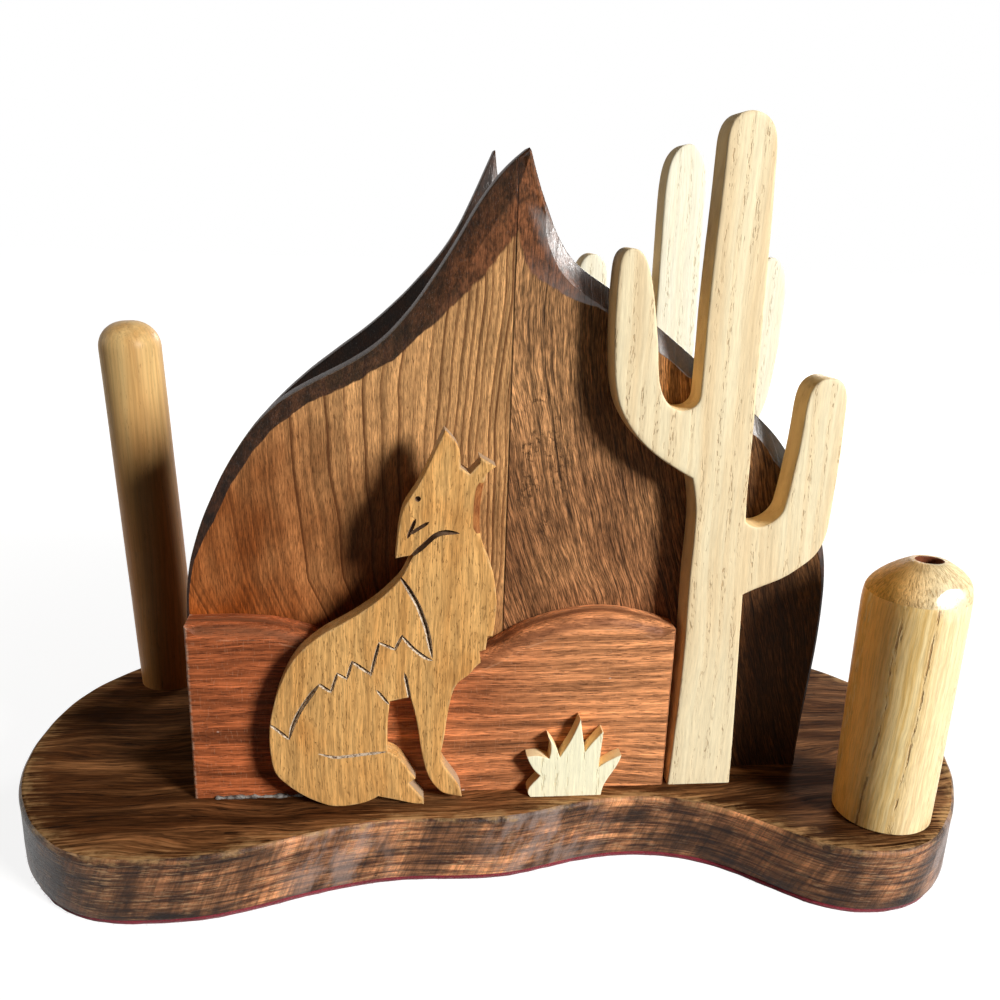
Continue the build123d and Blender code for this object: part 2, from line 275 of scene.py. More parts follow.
def made_from(name, mesh, finishes=(), sharp=None):
    """A mesh still being worked on, made into an object."""
    data = bpy.data.meshes.new(name)
    mesh.to_mesh(data)
    mesh.free()
    return put_in_scene(name, data, finishes, sharp)


def settled(made):
    """The object with its modifiers worked into a plain mesh."""
    shape = made.evaluated_get(bpy.context.evaluated_depsgraph_get())
    data = bpy.data.meshes.new_from_object(shape)
    made.modifiers.clear()
    old, made.data = made.data, data
    bpy.data.meshes.remove(old)
    data.name = made.name
    return made


def stands_for(made, body, slot, *nodes):
    """The piece rides on a body and takes the place of CAD nodes."""
    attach(made, body)
    if nodes:
        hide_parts(*nodes)
    return made


# Finishes

class Wiring:
    """A shader tree whose nodes are added and wired by plain words."""

    def __init__(self, tree):
        self.tree = tree

    def add(self, kind, values=(), **settings):
        """A node with its settings and first inputs."""
        node = self.tree.nodes.new(kind)
        for word, value in settings.items():
            setattr(node, word, value)
        for socket, value in zip(node.inputs, values):
            self.feed(socket, value)
        return node

    def feed(self, socket, value):
        """A wire or a plain value into a socket."""
        if isinstance(value, bpy.types.NodeSocket):
            self.tree.links.new(value, socket)
        elif value is not None:
            plain = hasattr(value, "__len__") and len(value) == 3 and socket.type == "RGBA"
            socket.default_value = (*value, 1) if plain else value

    def calc(self, operation, *values):
        """One sum on numbers."""
        return self.add("ShaderNodeMath", values, operation=operation).outputs[0]

    def less(self, value, taken):
        """A number with another taken from it."""
        return self.calc("SUBTRACT", value, taken)

    def most(self, one, other):
        """The greater of two numbers."""
        return self.calc("MAXIMUM", one, other)

    def apart(self, one, other):
        """How far apart two numbers are."""
        return self.calc("ABSOLUTE", self.less(one, other))

    def total(self, *values):
        """Numbers added up."""
        done = values[0]
        for value in values[1:]:
            done = self.calc("ADD", done, value)
        return done

    def times(self, *values):
        """Numbers multiplied."""
        done = values[0]
        for value in values[1:]:
            done = self.calc("MULTIPLY", done, value)
        return done

    def swing(self, value, reach):
        """A 0 to 1 value turned into one from -reach to +reach."""
        return self.calc("MULTIPLY_ADD", value, 2 * reach, -reach)

    def step(self, value, low, high, to_low=0.0, to_high=1.0):
        """A soft step from one value to another."""
        return self.add("ShaderNodeMapRange", (value, low, high, to_low, to_high),
                        interpolation_type="SMOOTHSTEP").outputs[0]

    def seen(self):
        """1 for what the camera, a gloss or a clear surface sees."""
        rays = self.add("ShaderNodeLightPath").outputs
        seen = rays["Is Camera Ray"]
        for word in ("Is Glossy Ray", "Is Transmission Ray"):
            seen = self.most(seen, rays[word])
        return seen


class Finish(Wiring):
    """One material. Its sizes are in millimetres."""

    def __init__(self, name, **skin):
        self.material = bpy.data.materials.new(name)
        self.material.use_nodes = True
        super().__init__(self.material.node_tree)
        self.skin = self.tree.nodes["Principled BSDF"]
        for word, value in skin.items():
            self.skin.inputs[word.replace("_", " ").title().replace("Ior", "IOR")].default_value = value
        place = self.add("ShaderNodeTexCoord").outputs["Object"]
        self.place = self.add("ShaderNodeVectorMath", (place,), operation="SCALE").outputs[0]
        self.place.node.inputs["Scale"].default_value = 1 / mm
        self.x, self.y, self.z = self.add("ShaderNodeSeparateXYZ", (self.place,)).outputs

    def spot(self, x, y, z):
        """A place from three numbers."""
        return self.add("ShaderNodeCombineXYZ", (x, y, z)).outputs[0]

    def sized(self, place, size, seed=0.0):
        """A place counted in steps of a size, moved to its own patch of pattern."""
        steps = [1 / s for s in size]
        shift = (17.3 * seed, 9.1 * seed, 5.7 * seed)
        return self.add("ShaderNodeMapping", (place, shift, None, steps)).outputs[0]

    def cloud(self, place, size, detail=3.0, rough=0.55, seed=0.0, warp=0.0):
        """Soft noise whose patches have a size along each axis."""
        node = self.add("ShaderNodeTexNoise", (self.sized(place, size, seed),))
        for word, value in (("Scale", 1), ("Detail", detail), ("Roughness", rough), ("Distortion", warp)):
            node.inputs[word].default_value = value
        return node.outputs[0]

    def flecks(self, place, size, fat, seed):
        """1 in the middle of scattered flecks and 0 between them."""
        node = self.add("ShaderNodeTexVoronoi", (self.sized(place, size, seed),))
        node.inputs["Scale"].default_value = 1
        return self.step(node.outputs["Distance"], fat, fat / 2)

    def pores(self, place, size, low, high, seed):
        """1 in the short open pores of the wood, which start between two levels of noise."""
        return self.step(self.cloud(place, size, 2, 0.5, seed), low, high)

    def blend(self, share, first, second):
        """Two colours blended."""
        node = self.add("ShaderNodeMix", data_type="RGBA", clamp_factor=True)
        for i, value in ((0, share), (6, first), (7, second)):
            self.feed(node.inputs[i], value)
        return node.outputs[2]

    def wash(self, colour, tint, *shares):
        """A colour washed over with a tint, by the product of some shares."""
        return self.blend(self.times(*shares), colour, tint)

    def tone(self, colour, value, low, high, dark, light):
        """A colour made darker where a value is low and lighter where it is high."""
        return self.shade(colour, self.step(value, low, high, dark, light))

    def shade(self, colour, amount):
        """A colour made darker or lighter by a number."""
        node = self.add("ShaderNodeVectorMath", (colour,), operation="SCALE")
        self.feed(node.inputs["Scale"], amount)
        return node.outputs[0]

    def kept(self, name):
        """An attribute of the piece."""
        return self.add("ShaderNodeAttribute", attribute_name=name).outputs["Fac"]

    def chance(self, value):
        """A fixed random number for each whole number."""
        return self.add("ShaderNodeTexWhiteNoise", (None, value), noise_dimensions="1D").outputs[0]

    def relief(self, *parts):
        """A height from several patterns, each with its weight."""
        return self.total(*(self.times(*part) for part in parts))

    def done(self, colour, roughness, height, depth, shine=None):
        """The finished material: colour, gloss and relief."""
        self.feed(self.skin.inputs["Base Color"], colour)
        self.feed(self.skin.inputs["Specular IOR Level"], shine)
        self.feed(self.skin.inputs["Roughness"], roughness)
        bump = self.add("ShaderNodeBump")
        bump.inputs["Strength"].default_value = 1.0
        bump.inputs["Distance"].default_value = depth * mm
        self.feed(bump.inputs["Height"], height)
        self.feed(self.skin.inputs["Normal"], bump.outputs[0])
        return self.material


def finish_panel(f, seed, glue, colour, height, fibre, wax, rust=1.0):
    """What every mountain board shares: the glue seam, the stained rim with its rubbed
    arris, the rusty flat below the peak and the wax on the slopes."""
    seam = f.step(f.apart(f.x, glue), 0.34, 0.06)
    colour = f.wash(colour, (0.014, 0.006, 0.003), seam, 0.6)
    edge = f.kept("edge")
    rag = f.swing(f.cloud(f.place, (4, 4, 7), 4, seed=seed + 6), 0.16)
    stain = f.step(f.total(edge, rag), 1.05, 0.97)
    mottle = f.cloud(f.place, (3.2, 3.2, 4.4), 5, 0.66, seed=seed + 7)
    dark = f.blend(f.step(mottle, 0.36, 0.66), (0.011, 0.006, 0.004), (0.062, 0.026, 0.014))
    beside = f.times(f.step(f.less(f.x, glue), -1, 0.4), f.step(f.z, 180, 187), f.step(edge, 0.02, 0.08))
    flat = f.times(f.most(f.step(edge, 0.14, 0.6), beside), f.step(f.z, 150, 178), rust)
    speck = f.cloud(f.place, (0.9, 0.9, 1.6), 4, 0.7, seed=seed + 9)
    rusty = f.shade((0.118, 0.043, 0.018), f.step(f.total(mottle, speck), 0.72, 1.28, 0.25, 1.9))
    dark = f.blend(flat, dark, rusty)
    dark = f.shade(dark, f.step(fibre, 0.34, 0.66, 0.55, 1.5))
    colour = f.wash(colour, dark, stain, 0.96)
    chips = f.cloud(f.place, (2.4, 2.4, 2.4), 5, 0.7, seed=seed + 8)
    rubbed = f.times(f.step(edge, 0.13, 0.03), f.step(edge, -0.14, -0.04), f.step(chips, 0.36, 0.54))
    colour = f.wash(colour, (0.46, 0.37, 0.28), rubbed, f.step(f.z, 186, 150, 0.1, 0.3))
    nick = f.times(f.step(chips, 0.71, 0.76), f.step(edge, 1.25, 0.9), f.step(edge, 0.2, 0.5))
    colour = f.wash(colour, (0.40, 0.25, 0.14), nick, 0.6)
    height = f.total(height, f.times(seam, -1.5), f.times(stain, mottle, 0.5), f.times(nick, -0.8))
    gloss = f.total(f.step(fibre, 0.3, 0.7, 0.56, 0.46), f.times(stain, -0.16))
    sawn = f.step(edge, 0.16, 0.0)
    waxed = f.times(stain, f.less(1, flat))
    shine = f.most(f.total(f.times(waxed, wax), f.times(sawn, -2), 0.1), 0.02)
    return f.done(colour, gloss, height, 0.16, shine)


def flat_sawn_finish(name, seed, way, glue, high, low, line, peak_wax=0.03, rust=1.0):
    """A flat-sawn board: thin growth lines, close at the glue line and far apart beyond."""
    f = Finish(name, specular_ior_level=0.17)
    from_glue = f.times(f.less(f.x, glue), way)
    far = f.step(from_glue, 18, 55)
    tilt = f.times(f.calc("MULTIPLY_ADD", far, -0.16, 0.05), f.less(f.z, 100))
    foot = f.times(far, f.most(f.less(84, f.z), 0.0), 0.34)
    bend = f.swing(f.cloud(f.place, (55, 55, 46), 1.5, seed=seed), 5)
    wander = f.swing(f.cloud(f.place, (9, 9, 38), 2, seed=seed + 1), 0.6)
    across = f.most(f.total(from_glue, tilt, foot, bend, wander), 0.0)
    wood = f.spot(across, f.y, f.z)
    spread = f.calc("ADD", across, 18)
    count = f.times(f.calc("LOGARITHM", f.times(spread, 1 / 18), math.e), 14)
    before = f.times(f.less(1, f.calc("FRACT", count)), spread, 1 / 14)
    weight = f.step(f.chance(f.calc("FLOOR", count)), 0.0, 0.8, 0.3, 1.0)
    rings = f.times(f.step(before, 1.25, 0.08), weight)
    streak = f.cloud(wood, (1.5, 1.5, 55), 5, 0.62, seed=seed + 2)
    fine = f.spot(f.total(f.x, f.times(bend, 0.3)), f.y, f.z)
    fibre = f.cloud(fine, (0.32, 0.32, 3.4), 3, 0.68, seed=seed + 3)
    pores = f.pores(fine, (0.36, 0.36, 2.6), 0.59, 0.69, seed + 4)
    blotch = f.cloud(f.place, (24, 24, 34), 3, seed=seed + 5)
    tone = f.total(f.times(f.z, 0.6), f.times(from_glue, -0.85), f.swing(blotch, 46))
    colour = f.blend(f.step(tone, -25, 70), low, high)
    colour = f.tone(colour, blotch, 0.3, 0.7, 0.76, 1.2)
    colour = f.tone(colour, streak, 0.32, 0.68, 0.62, 1.36)
    colour = f.tone(colour, fibre, 0.33, 0.67, 0.6, 1.4)
    colour = f.wash(colour, line, pores, 0.5)
    colour = f.wash(colour, line, rings, 0.82)
    height = f.relief((fibre, 0.4), (streak, 0.3), (pores, -0.4), (rings, -0.4))
    wax = f.step(f.z, 178, 196, 0.03, peak_wax)
    return finish_panel(f, seed, glue, colour, height, fibre, wax, rust)


def quarter_sawn_finish(name, seed, lean, glue, high, low, line):
    """A quarter-sawn board: close broken streaks that lean towards its foot, and a patch
    of torn grain beside the glue line."""
    f = Finish(name, specular_ior_level=0.17)
    below = f.most(f.less(152, f.z), 0.0)
    slip = f.times(f.calc("DIVIDE", f.times(below, below), f.calc("ADD", below, 26)), -lean)
    bend = f.swing(f.cloud(f.place, (34, 34, 34), 2, seed=seed), 2.4)
    wander = f.swing(f.cloud(f.place, (6, 6, 30), 2, seed=seed + 1), 0.25)
    across = f.total(f.x, slip, bend, wander)
    wood = f.spot(across, f.y, f.z)
    count = f.total(f.times(across, 1 / 2.1), f.swing(f.cloud(wood, (6, 6, 70), 2, seed=seed + 5), 0.9))
    part = f.calc("FRACT", count)
    rings = f.less(f.step(part, 0.5, 0.94), f.step(part, 0.94, 1.0))
    rings = f.times(rings, f.step(f.chance(f.calc("FLOOR", count)), 0.1, 0.9, 0.1, 1.0))
    broken = f.step(f.cloud(wood, (1.4, 1.4, 12), 3, seed=seed + 9), 0.36, 0.6)
    streak = f.cloud(wood, (1.3, 1.3, 44), 5, 0.62, seed=seed + 2)
    dashes = f.cloud(wood, (0.4, 0.4, 5), 3, 0.68, seed=seed + 3)
    fibre = f.cloud(wood, (0.32, 0.32, 2.6), 3, 0.68, seed=seed + 4)
    blotch = f.cloud(f.place, (22, 22, 30), 3, seed=seed + 10)
    colour = f.blend(f.step(f.total(f.z, f.swing(blotch, 70)), 70, 170), low, high)
    colour = f.tone(colour, blotch, 0.3, 0.7, 0.8, 1.15)
    colour = f.tone(colour, streak, 0.34, 0.66, 0.56, 1.4)
    colour = f.tone(colour, dashes, 0.36, 0.64, 0.36, 1.58)
    colour = f.tone(colour, fibre, 0.33, 0.67, 0.72, 1.28)
    colour = f.wash(colour, line, rings, broken, 0.92)
    # Painted shadow: the board is darkened at its lower right corner, where the cup's shadow falls, and to
    # the right of x = 40 mm, where the saguaro's shadow falls
    painted_shadow_corner = f.times(f.step(f.x, 64, 78), f.step(f.z, 100, 72))
    colour = f.shade(colour, f.times(f.step(painted_shadow_corner, 0.0, 1.0, 1.0, 0.5), f.step(f.x, 40, 68, 1.0, 0.36)))
    aside = f.times(f.less(f.x, 6), 1 / 10)
    above = f.times(f.less(f.z, 117), 1 / 27)
    torn = f.step(f.total(f.times(aside, aside), f.times(above, above)), 1.3, 0.2)
    torn = f.times(torn, f.step(f.cloud(f.place, (5, 5, 7), 3, seed=seed + 12), 0.42, 0.62),
                   f.step(f.cloud(wood, (1.2, 1.2, 1.5), 5, 0.7, seed=seed + 11), 0.48, 0.66))
    colour = f.wash(colour, line, torn, 0.8)
    height = f.relief((fibre, 0.3), (dashes, 0.6), (rings, -0.4), (torn, -1.0))
    wax = f.step(f.z, 84, 106, 0.05, 1.4)
    return finish_panel(f, seed, glue, colour, height, fibre, wax)


def hill_finish():
    """Red-brown mahogany with the grain lying down, short pores and scuffs."""
    f = Finish("hill_mahogany", specular_ior_level=0.12)
    bend = f.cloud(f.place, (90, 40, 40), 2, seed=21)
    wood = f.spot(f.x, f.y, f.total(f.z, f.swing(bend, 4)))
    ribbon = f.cloud(wood, (60, 3.4, 2.8), 4, 0.55, seed=22)
    streak = f.cloud(wood, (34, 0.8, 0.66), 5, 0.64, seed=23)
    fibre = f.cloud(wood, (5.0, 0.34, 0.32), 3, 0.66, seed=24)
    pores = f.pores(wood, (3.6, 0.36, 0.34), 0.57, 0.68, 25)
    weave = f.step(f.cloud(f.place, (0.5, 0.5, 2.2), 3, 0.6, seed=29), 0.55, 0.7)
    far = f.total(f.times(f.x, 0.012), f.swing(f.cloud(f.place, (45, 45, 30), 2, seed=26), 0.6))
    colour = f.blend(f.step(far, -0.8, 0.5), (0.40, 0.108, 0.037), (0.65, 0.27, 0.112))
    colour = f.tone(colour, ribbon, 0.34, 0.66, 0.52, 1.32)
    colour = f.tone(colour, streak, 0.33, 0.67, 0.62, 1.34)
    colour = f.tone(colour, fibre, 0.33, 0.67, 0.7, 1.28)
    colour = f.wash(colour, (0.075, 0.016, 0.006), pores, 0.48)
    colour = f.wash(colour, (0.70, 0.40, 0.24), weave, 0.16)
    edge = f.kept("edge")
    rub = f.cloud(f.place, (6, 6, 2.0), 5, 0.68, seed=27)
    crest = f.times(f.step(edge, 0.0, 0.4), f.step(edge, 1.05, 0.5))
    # The hand-shaped crest is washed a dark red-brown, mottled by the rub pattern
    colour = f.wash(colour, (0.19, 0.068, 0.030), crest, f.step(rub, 0.3, 0.6, 0.5, 1.0), 0.85)
    rim = f.times(f.step(edge, 0.9, 1.0), f.step(edge, 1.1, 1.0), f.step(f.z, 52, 60))
    colour = f.wash(colour, (0.62, 0.34, 0.2), rim, f.step(rub, 0.46, 0.6), 0.45)
    side = f.times(f.step(f.x, -90.2, -91.0), f.step(rub, 0.4, 0.56))
    colour = f.wash(colour, (0.62, 0.42, 0.3), side, 0.55)
    scuff = f.times(f.flecks(f.place, (13, 13, 9), 0.05, seed=28), 0.7)
    colour = f.wash(colour, (0.66, 0.46, 0.36), scuff)
    height = f.relief((fibre, 0.5), (streak, 0.4), (pores, -0.8), (scuff, 0.6))
    return f.done(colour, f.step(ribbon, 0.3, 0.7, 0.52, 0.42), height, 0.14)


def tan_finish(name, raw):
    """The coyote's tan wood with fine upright pores. Raw is where the knife cut it, coloured dark as painted
    shade in the grooves.
    """
    f = Finish(name, specular_ior_level=0.1)
    bend = f.cloud(f.place, (40, 40, 60), 2, seed=31)
    wood = f.spot(f.total(f.x, f.swing(bend, 3)), f.y, f.z)
    band = f.cloud(wood, (5, 5, 90), 3, seed=32)
    streak = f.cloud(wood, (0.8, 0.8, 34), 4, 0.62, seed=33)
    fibre = f.cloud(wood, (0.36, 0.36, 5.0), 3, 0.66, seed=34)
    pores = f.pores(wood, (0.36, 0.36, 1.9), 0.60, 0.70, 35)
    blotch = f.cloud(f.place, (15, 15, 20), 3, seed=36)
    colour = f.blend(f.step(band, 0.3, 0.7), (0.60, 0.305, 0.094), (0.70, 0.40, 0.142))
    colour = f.wash(colour, (0.56, 0.235, 0.055), f.step(blotch, 0.5, 0.74), 0.5)
    colour = f.tone(colour, streak, 0.32, 0.68, 0.78, 1.2)
    colour = f.tone(colour, fibre, 0.33, 0.67, 0.75, 1.25)
    colour = f.wash(colour, (0.20, 0.085, 0.022), pores, 0.5)
    (left, front, foot), (right, _, top) = span("coyote")
    wide, tall = right - left, top - foot
    if raw:
        chip = f.cloud(f.place, (0.8, 0.8, 0.8), 4, 0.68, seed=37)
        below_neck = f.step(f.z, foot + 0.66 * tall, foot + 0.56 * tall, 0.12, 0.9)
        pale = f.times(f.step(chip, 0.36, 0.56), below_neck)
        # Painted shade: inside the knife cuts the wood is coloured near black for the depth of the grooves,
        # with flecks of pale bare wood, fewer above the neck
        colour = f.blend(pale, (0.13, 0.060, 0.026), (0.80, 0.66, 0.50))
    else:
        edge = f.kept("edge")
        rub = f.cloud(f.place, (3, 3, 3), 4, seed=38)
        worn = f.times(f.step(edge, 1.0, 0.2), f.step(rub, 0.42, 0.62))
        colour = f.wash(colour, (0.72, 0.5, 0.25), worn, 0.4)
        torn = f.cloud(f.place, (0.7, 0.7, 3.4), 4, 0.66, seed=39)
        shaved = f.blend(f.step(torn, 0.34, 0.66), (0.17, 0.048, 0.014), (0.44, 0.17, 0.05))
        colour = f.wash(colour, shaved, f.step(edge, 1.4, 1.9))
        ear = f.times(f.step(f.x, left + 0.7 * wide, left + 0.76 * wide),
                      f.step(f.z, foot + 0.86 * tall, foot + 0.9 * tall))
        paw = f.times(f.step(f.x, left + 0.45 * wide, left + 0.55 * wide),
                      f.step(f.z, foot + 15, foot + 9))
        bare = f.times(f.most(ear, paw), f.step(f.y, front + 0.4, front + 1.2))
        colour = f.wash(colour, (0.38, 0.29, 0.22), bare, 0.7)
    height = f.relief((fibre, 0.5), (streak, 0.3), (pores, -0.8))
    return f.done(colour, f.step(streak, 0.3, 0.7, 0.58, 0.48), height, 0.12)


def ash_finish(name, seed, light, warm, pore):
    """Pale ash or pine: rows of short pore dashes along the early wood of each ring."""
    f = Finish(name, specular_ior_level=0.12)
    bend = f.cloud(f.place, (45, 45, 90), 2, seed=seed)
    across = f.total(f.x, f.swing(bend, 4))
    wood = f.spot(across, f.y, f.z)
    count = f.total(f.times(across, 0.23), f.times(f.y, 0.09),
                    f.swing(f.cloud(wood, (12, 12, 80), 2, seed=seed + 1), 0.6))
    part = f.calc("FRACT", count)
    early = f.times(f.step(part, 0.0, 0.05), f.step(part, 0.5, 0.2))
    dash = f.pores(wood, (0.42, 0.42, 2.1), 0.54, 0.64, seed + 2)
    keep = f.step(f.cloud(wood, (2.5, 2.5, 18), 2, seed=seed + 4), 0.36, 0.58)
    stray = f.pores(wood, (0.5, 0.5, 3.4), 0.68, 0.76, seed + 3)
    pores = f.most(f.times(dash, early, keep), f.times(stray, 0.5))
    streak = f.cloud(wood, (0.9, 0.9, 40), 4, 0.6, seed=seed + 5)
    fibre = f.cloud(wood, (0.42, 0.42, 4.0), 3, 0.6, seed=seed + 6)
    band = f.cloud(wood, (6, 6, 120), 3, seed=seed + 7)
    colour = f.blend(f.step(band, 0.34, 0.68), light, warm)
    colour = f.wash(colour, warm, early, 0.4)
    colour = f.wash(colour, light, f.step(f.z, 80, 40), 0.7)
    colour = f.tone(colour, streak, 0.25, 0.75, 0.9, 1.07)
    colour = f.tone(colour, fibre, 0.25, 0.75, 0.92, 1.07)
    colour = f.wash(colour, pore, pores, 0.55)
    edge = f.kept("edge")
    sawn = f.step(edge, 0.24, 0.14)
    # Painted light: the sawn side walls are washed a warm orange that stands in for warm bounce light on
    # their shaded faces
    colour = f.wash(colour, (0.95, 0.68, 0.33), sawn, 0.7)
    rub = f.cloud(f.place, (4, 4, 6), 4, seed=seed + 8)
    worn = f.times(f.step(edge, 1.0, 0.3), f.step(rub, 0.44, 0.62))
    colour = f.wash(colour, pore, worn, 0.14)
    height = f.relief((fibre, 0.3), (streak, 0.3), (pores, -0.9))
    gloss, shine = f.step(streak, 0.3, 0.7, 0.52, 0.42), f.step(sawn, 0.0, 1.0, 0.12, 0.02)
    return f.done(colour, gloss, height, 0.13, shine)


def burnished(f, spot):
    """1 on the cup's shoulder where a thumb has polished it."""
    thumb = (spot[0] + 3.0, spot[1] - 13.4, 90.4)
    away = f.add("ShaderNodeVectorMath", (f.place, thumb), operation="DISTANCE").outputs["Value"]
    return f.step(away, 6.5, 3.5)


def from_middle(f, spot):
    """How far a place is to the right of the cup's middle, and how far behind it."""
    return f.less(f.x, spot[0]), f.less(f.y, spot[1])


def cup_finish(spot):
    """Golden ash turned on a lathe, with open cracks along a few of its rings."""
    f = Finish("cup_ash", specular_ior_level=0.22)
    bend = f.cloud(f.place, (20, 20, 40), 2, seed=341)
    shake = f.swing(f.cloud(f.place, (3, 3, 6), 3, seed=342), 0.4)
    aside, back = from_middle(f, spot)
    across = f.total(f.times(aside, 0.86), f.times(back, -0.51), f.times(f.less(f.z, 85), -0.046),
                     f.swing(bend, 1.6), shake)
    wood = f.spot(across, f.total(f.times(aside, 0.51), f.times(back, 0.86)), f.z)
    count = f.total(f.times(across, 0.115), 0.7645)
    off = f.apart(f.calc("FRACT", count), 0.5)
    ring = f.step(off, 0.2, 0.02)
    here = f.step(f.cloud(wood, (3, 3, 8), 3, seed=343), 0.44, 0.6)
    ragged = f.total(off, f.swing(f.cloud(wood, (0.8, 0.8, 2.4), 3, 0.6, seed=349), 0.03))
    opened = f.step(f.cloud(wood, (1.6, 1.6, 7), 4, 0.6, seed=347), 0.46, 0.55)
    crack = f.times(f.step(ragged, 0.04, 0.016), opened, f.step(f.apart(across, 2), 10, 7.5))
    dash = f.times(f.pores(wood, (0.36, 0.36, 2.8), 0.54, 0.65, 344), ring, here)
    streak = f.cloud(wood, (1.1, 1.1, 60), 4, 0.6, seed=345)
    fibre = f.cloud(wood, (0.42, 0.42, 6.0), 3, 0.6, seed=346)
    colour = f.blend(f.step(streak, 0.36, 0.64), (0.78, 0.51, 0.175), (0.96, 0.74, 0.36))
    # Painted light: the side away from the key lamp is washed a deeper orange for warm bounce light, and the
    # lit side is washed paler
    colour = f.wash(colour, (0.98, 0.50, 0.115), f.step(across, 4, -10), 0.88)
    colour = f.wash(colour, (0.83, 0.68, 0.46), f.step(across, 2, 12), 0.55)
    colour = f.wash(colour, (0.62, 0.40, 0.14), ring, 0.3)
    colour = f.tone(colour, fibre, 0.3, 0.7, 0.84, 1.14)
    colour = f.wash(colour, (0.34, 0.175, 0.05), dash, 0.55)
    lip = f.times(f.step(off, 0.1, 0.05), f.step(f.cloud(wood, (1.2, 1.2, 4), 4, 0.6, seed=348), 0.46, 0.6))
    colour = f.wash(colour, (0.96, 0.80, 0.48), lip, 0.3)
    colour = f.wash(colour, (0.33, 0.17, 0.055), crack, 0.8)
    polish = burnished(f, spot)
    height = f.relief((fibre, 0.25), (dash, -0.6), (crack, -1.0))
    gloss = f.total(f.step(fibre, 0.3, 0.7, 0.42, 0.34), f.times(polish, -0.1))
    return f.done(colour, gloss, height, 0.2, f.step(polish, 0.0, 1.0, 0.2, 1.0))


def rasped_finish(name, spot, light, amber, deep):
    """Torn end grain, its short marks running in towards the middle of the cup."""
    f = Finish(name, specular_ior_level=0.06)
    aside, back = from_middle(f, spot)
    turn = f.calc("ARCTAN2", aside, f.times(back, -1))
    around = f.spot(f.times(turn, 10.5), f.z, 0.0)
    tear = f.step(f.cloud(around, (0.42, 1.3, 1), 3, 0.6, seed=81), 0.50, 0.62)
    fine = f.cloud(around, (0.36, 0.7, 1), 3, 0.65, seed=82)
    patch = f.cloud(f.place, (5, 5, 5), 3, seed=83)
    across = f.total(f.times(aside, 0.86), f.times(back, -0.51))
    # Painted light: the cone is coloured paler on its right, the side lit by the key lamp, and a deeper amber
    # on its shaded left
    colour = f.blend(f.step(across, 7, -8), light, amber)
    colour = f.tone(colour, patch, 0.3, 0.7, 0.82, 1.12)
    colour = f.tone(colour, fine, 0.25, 0.75, 0.82, 1.16)
    colour = f.wash(colour, deep, tear, 0.45)
    polish = burnished(f, spot)
    height = f.times(f.total(fine, f.times(tear, -0.8)), f.step(polish, 0.0, 1.0, 1.0, 0.3))
    gloss = f.total(f.step(fine, 0.3, 0.7, 0.5, 0.42), f.times(polish, -0.18))
    return f.done(colour, gloss, height, 0.1, f.step(polish, 0.0, 1.0, 0.05, 1.0))


def base_top_finish():
    """Dark walnut-stained oak, its grain lying along the base, worn at the rim."""
    f = Finish("stained_oak_top", specular_ior_level=0.02)
    bend = f.cloud(f.place, (95, 42, 42), 2, seed=51)
    wood = f.spot(f.x, f.total(f.y, f.swing(bend, 15)), f.z)
    figure = f.cloud(wood, (70, 9, 9), 3, 0.55, seed=52, warp=0.4)
    streak = f.cloud(wood, (50, 1.2, 1.2), 5, 0.62, seed=53)
    fibre = f.cloud(wood, (7, 0.45, 0.45), 3, 0.6, seed=54)
    pores = f.pores(wood, (8, 0.5, 0.5), 0.60, 0.68, 55)
    colour = f.blend(f.step(figure, 0.38, 0.66), (0.074, 0.026, 0.008), (0.26, 0.110, 0.040))
    # Painted shade and light: the top is coloured darker towards the right and lighter towards the back
    # right, behind the panels
    colour = f.shade(colour, f.times(f.step(f.x, 10, 85, 1.0, 0.52), f.step(f.x, -60, -10, 1.0, 0.9),
                                     f.step(f.total(f.x, f.y), 20, 95, 1.0, 1.55)))
    colour = f.tone(colour, streak, 0.34, 0.66, 0.6, 1.36)
    colour = f.tone(colour, fibre, 0.33, 0.67, 0.55, 1.45)
    colour = f.wash(colour, (0.009, 0.004, 0.002), pores, 0.75)
    edge = f.kept("edge")
    rub = f.cloud(f.place, (8, 8, 3), 5, 0.68, seed=56)
    gold = f.times(f.step(f.total(edge, f.swing(rub, 7)), 7, 0), f.step(streak, 0.46, 0.6),
                   f.step(fibre, 0.4, 0.56, 0.3, 1.0))
    colour = f.wash(colour, (0.46, 0.245, 0.10), gold, 0.75)
    worn = f.times(f.step(f.total(edge, f.swing(rub, 6)), 1.6, -1.4),
                   f.step(streak, 0.36, 0.6, 0.3, 1.0))
    colour = f.wash(colour, (0.46, 0.27, 0.115), worn, 0.8)
    height = f.relief((streak, 0.6), (fibre, 0.5), (pores, -1.0))
    return f.done(colour, f.step(figure, 0.3, 0.7, 0.8, 0.7), height, 0.2)


# Where along the base its edge has a painted grey sheen, and how far each way
painted_sheen_spots = ((8, 24), (-50, 20), (124, 12))


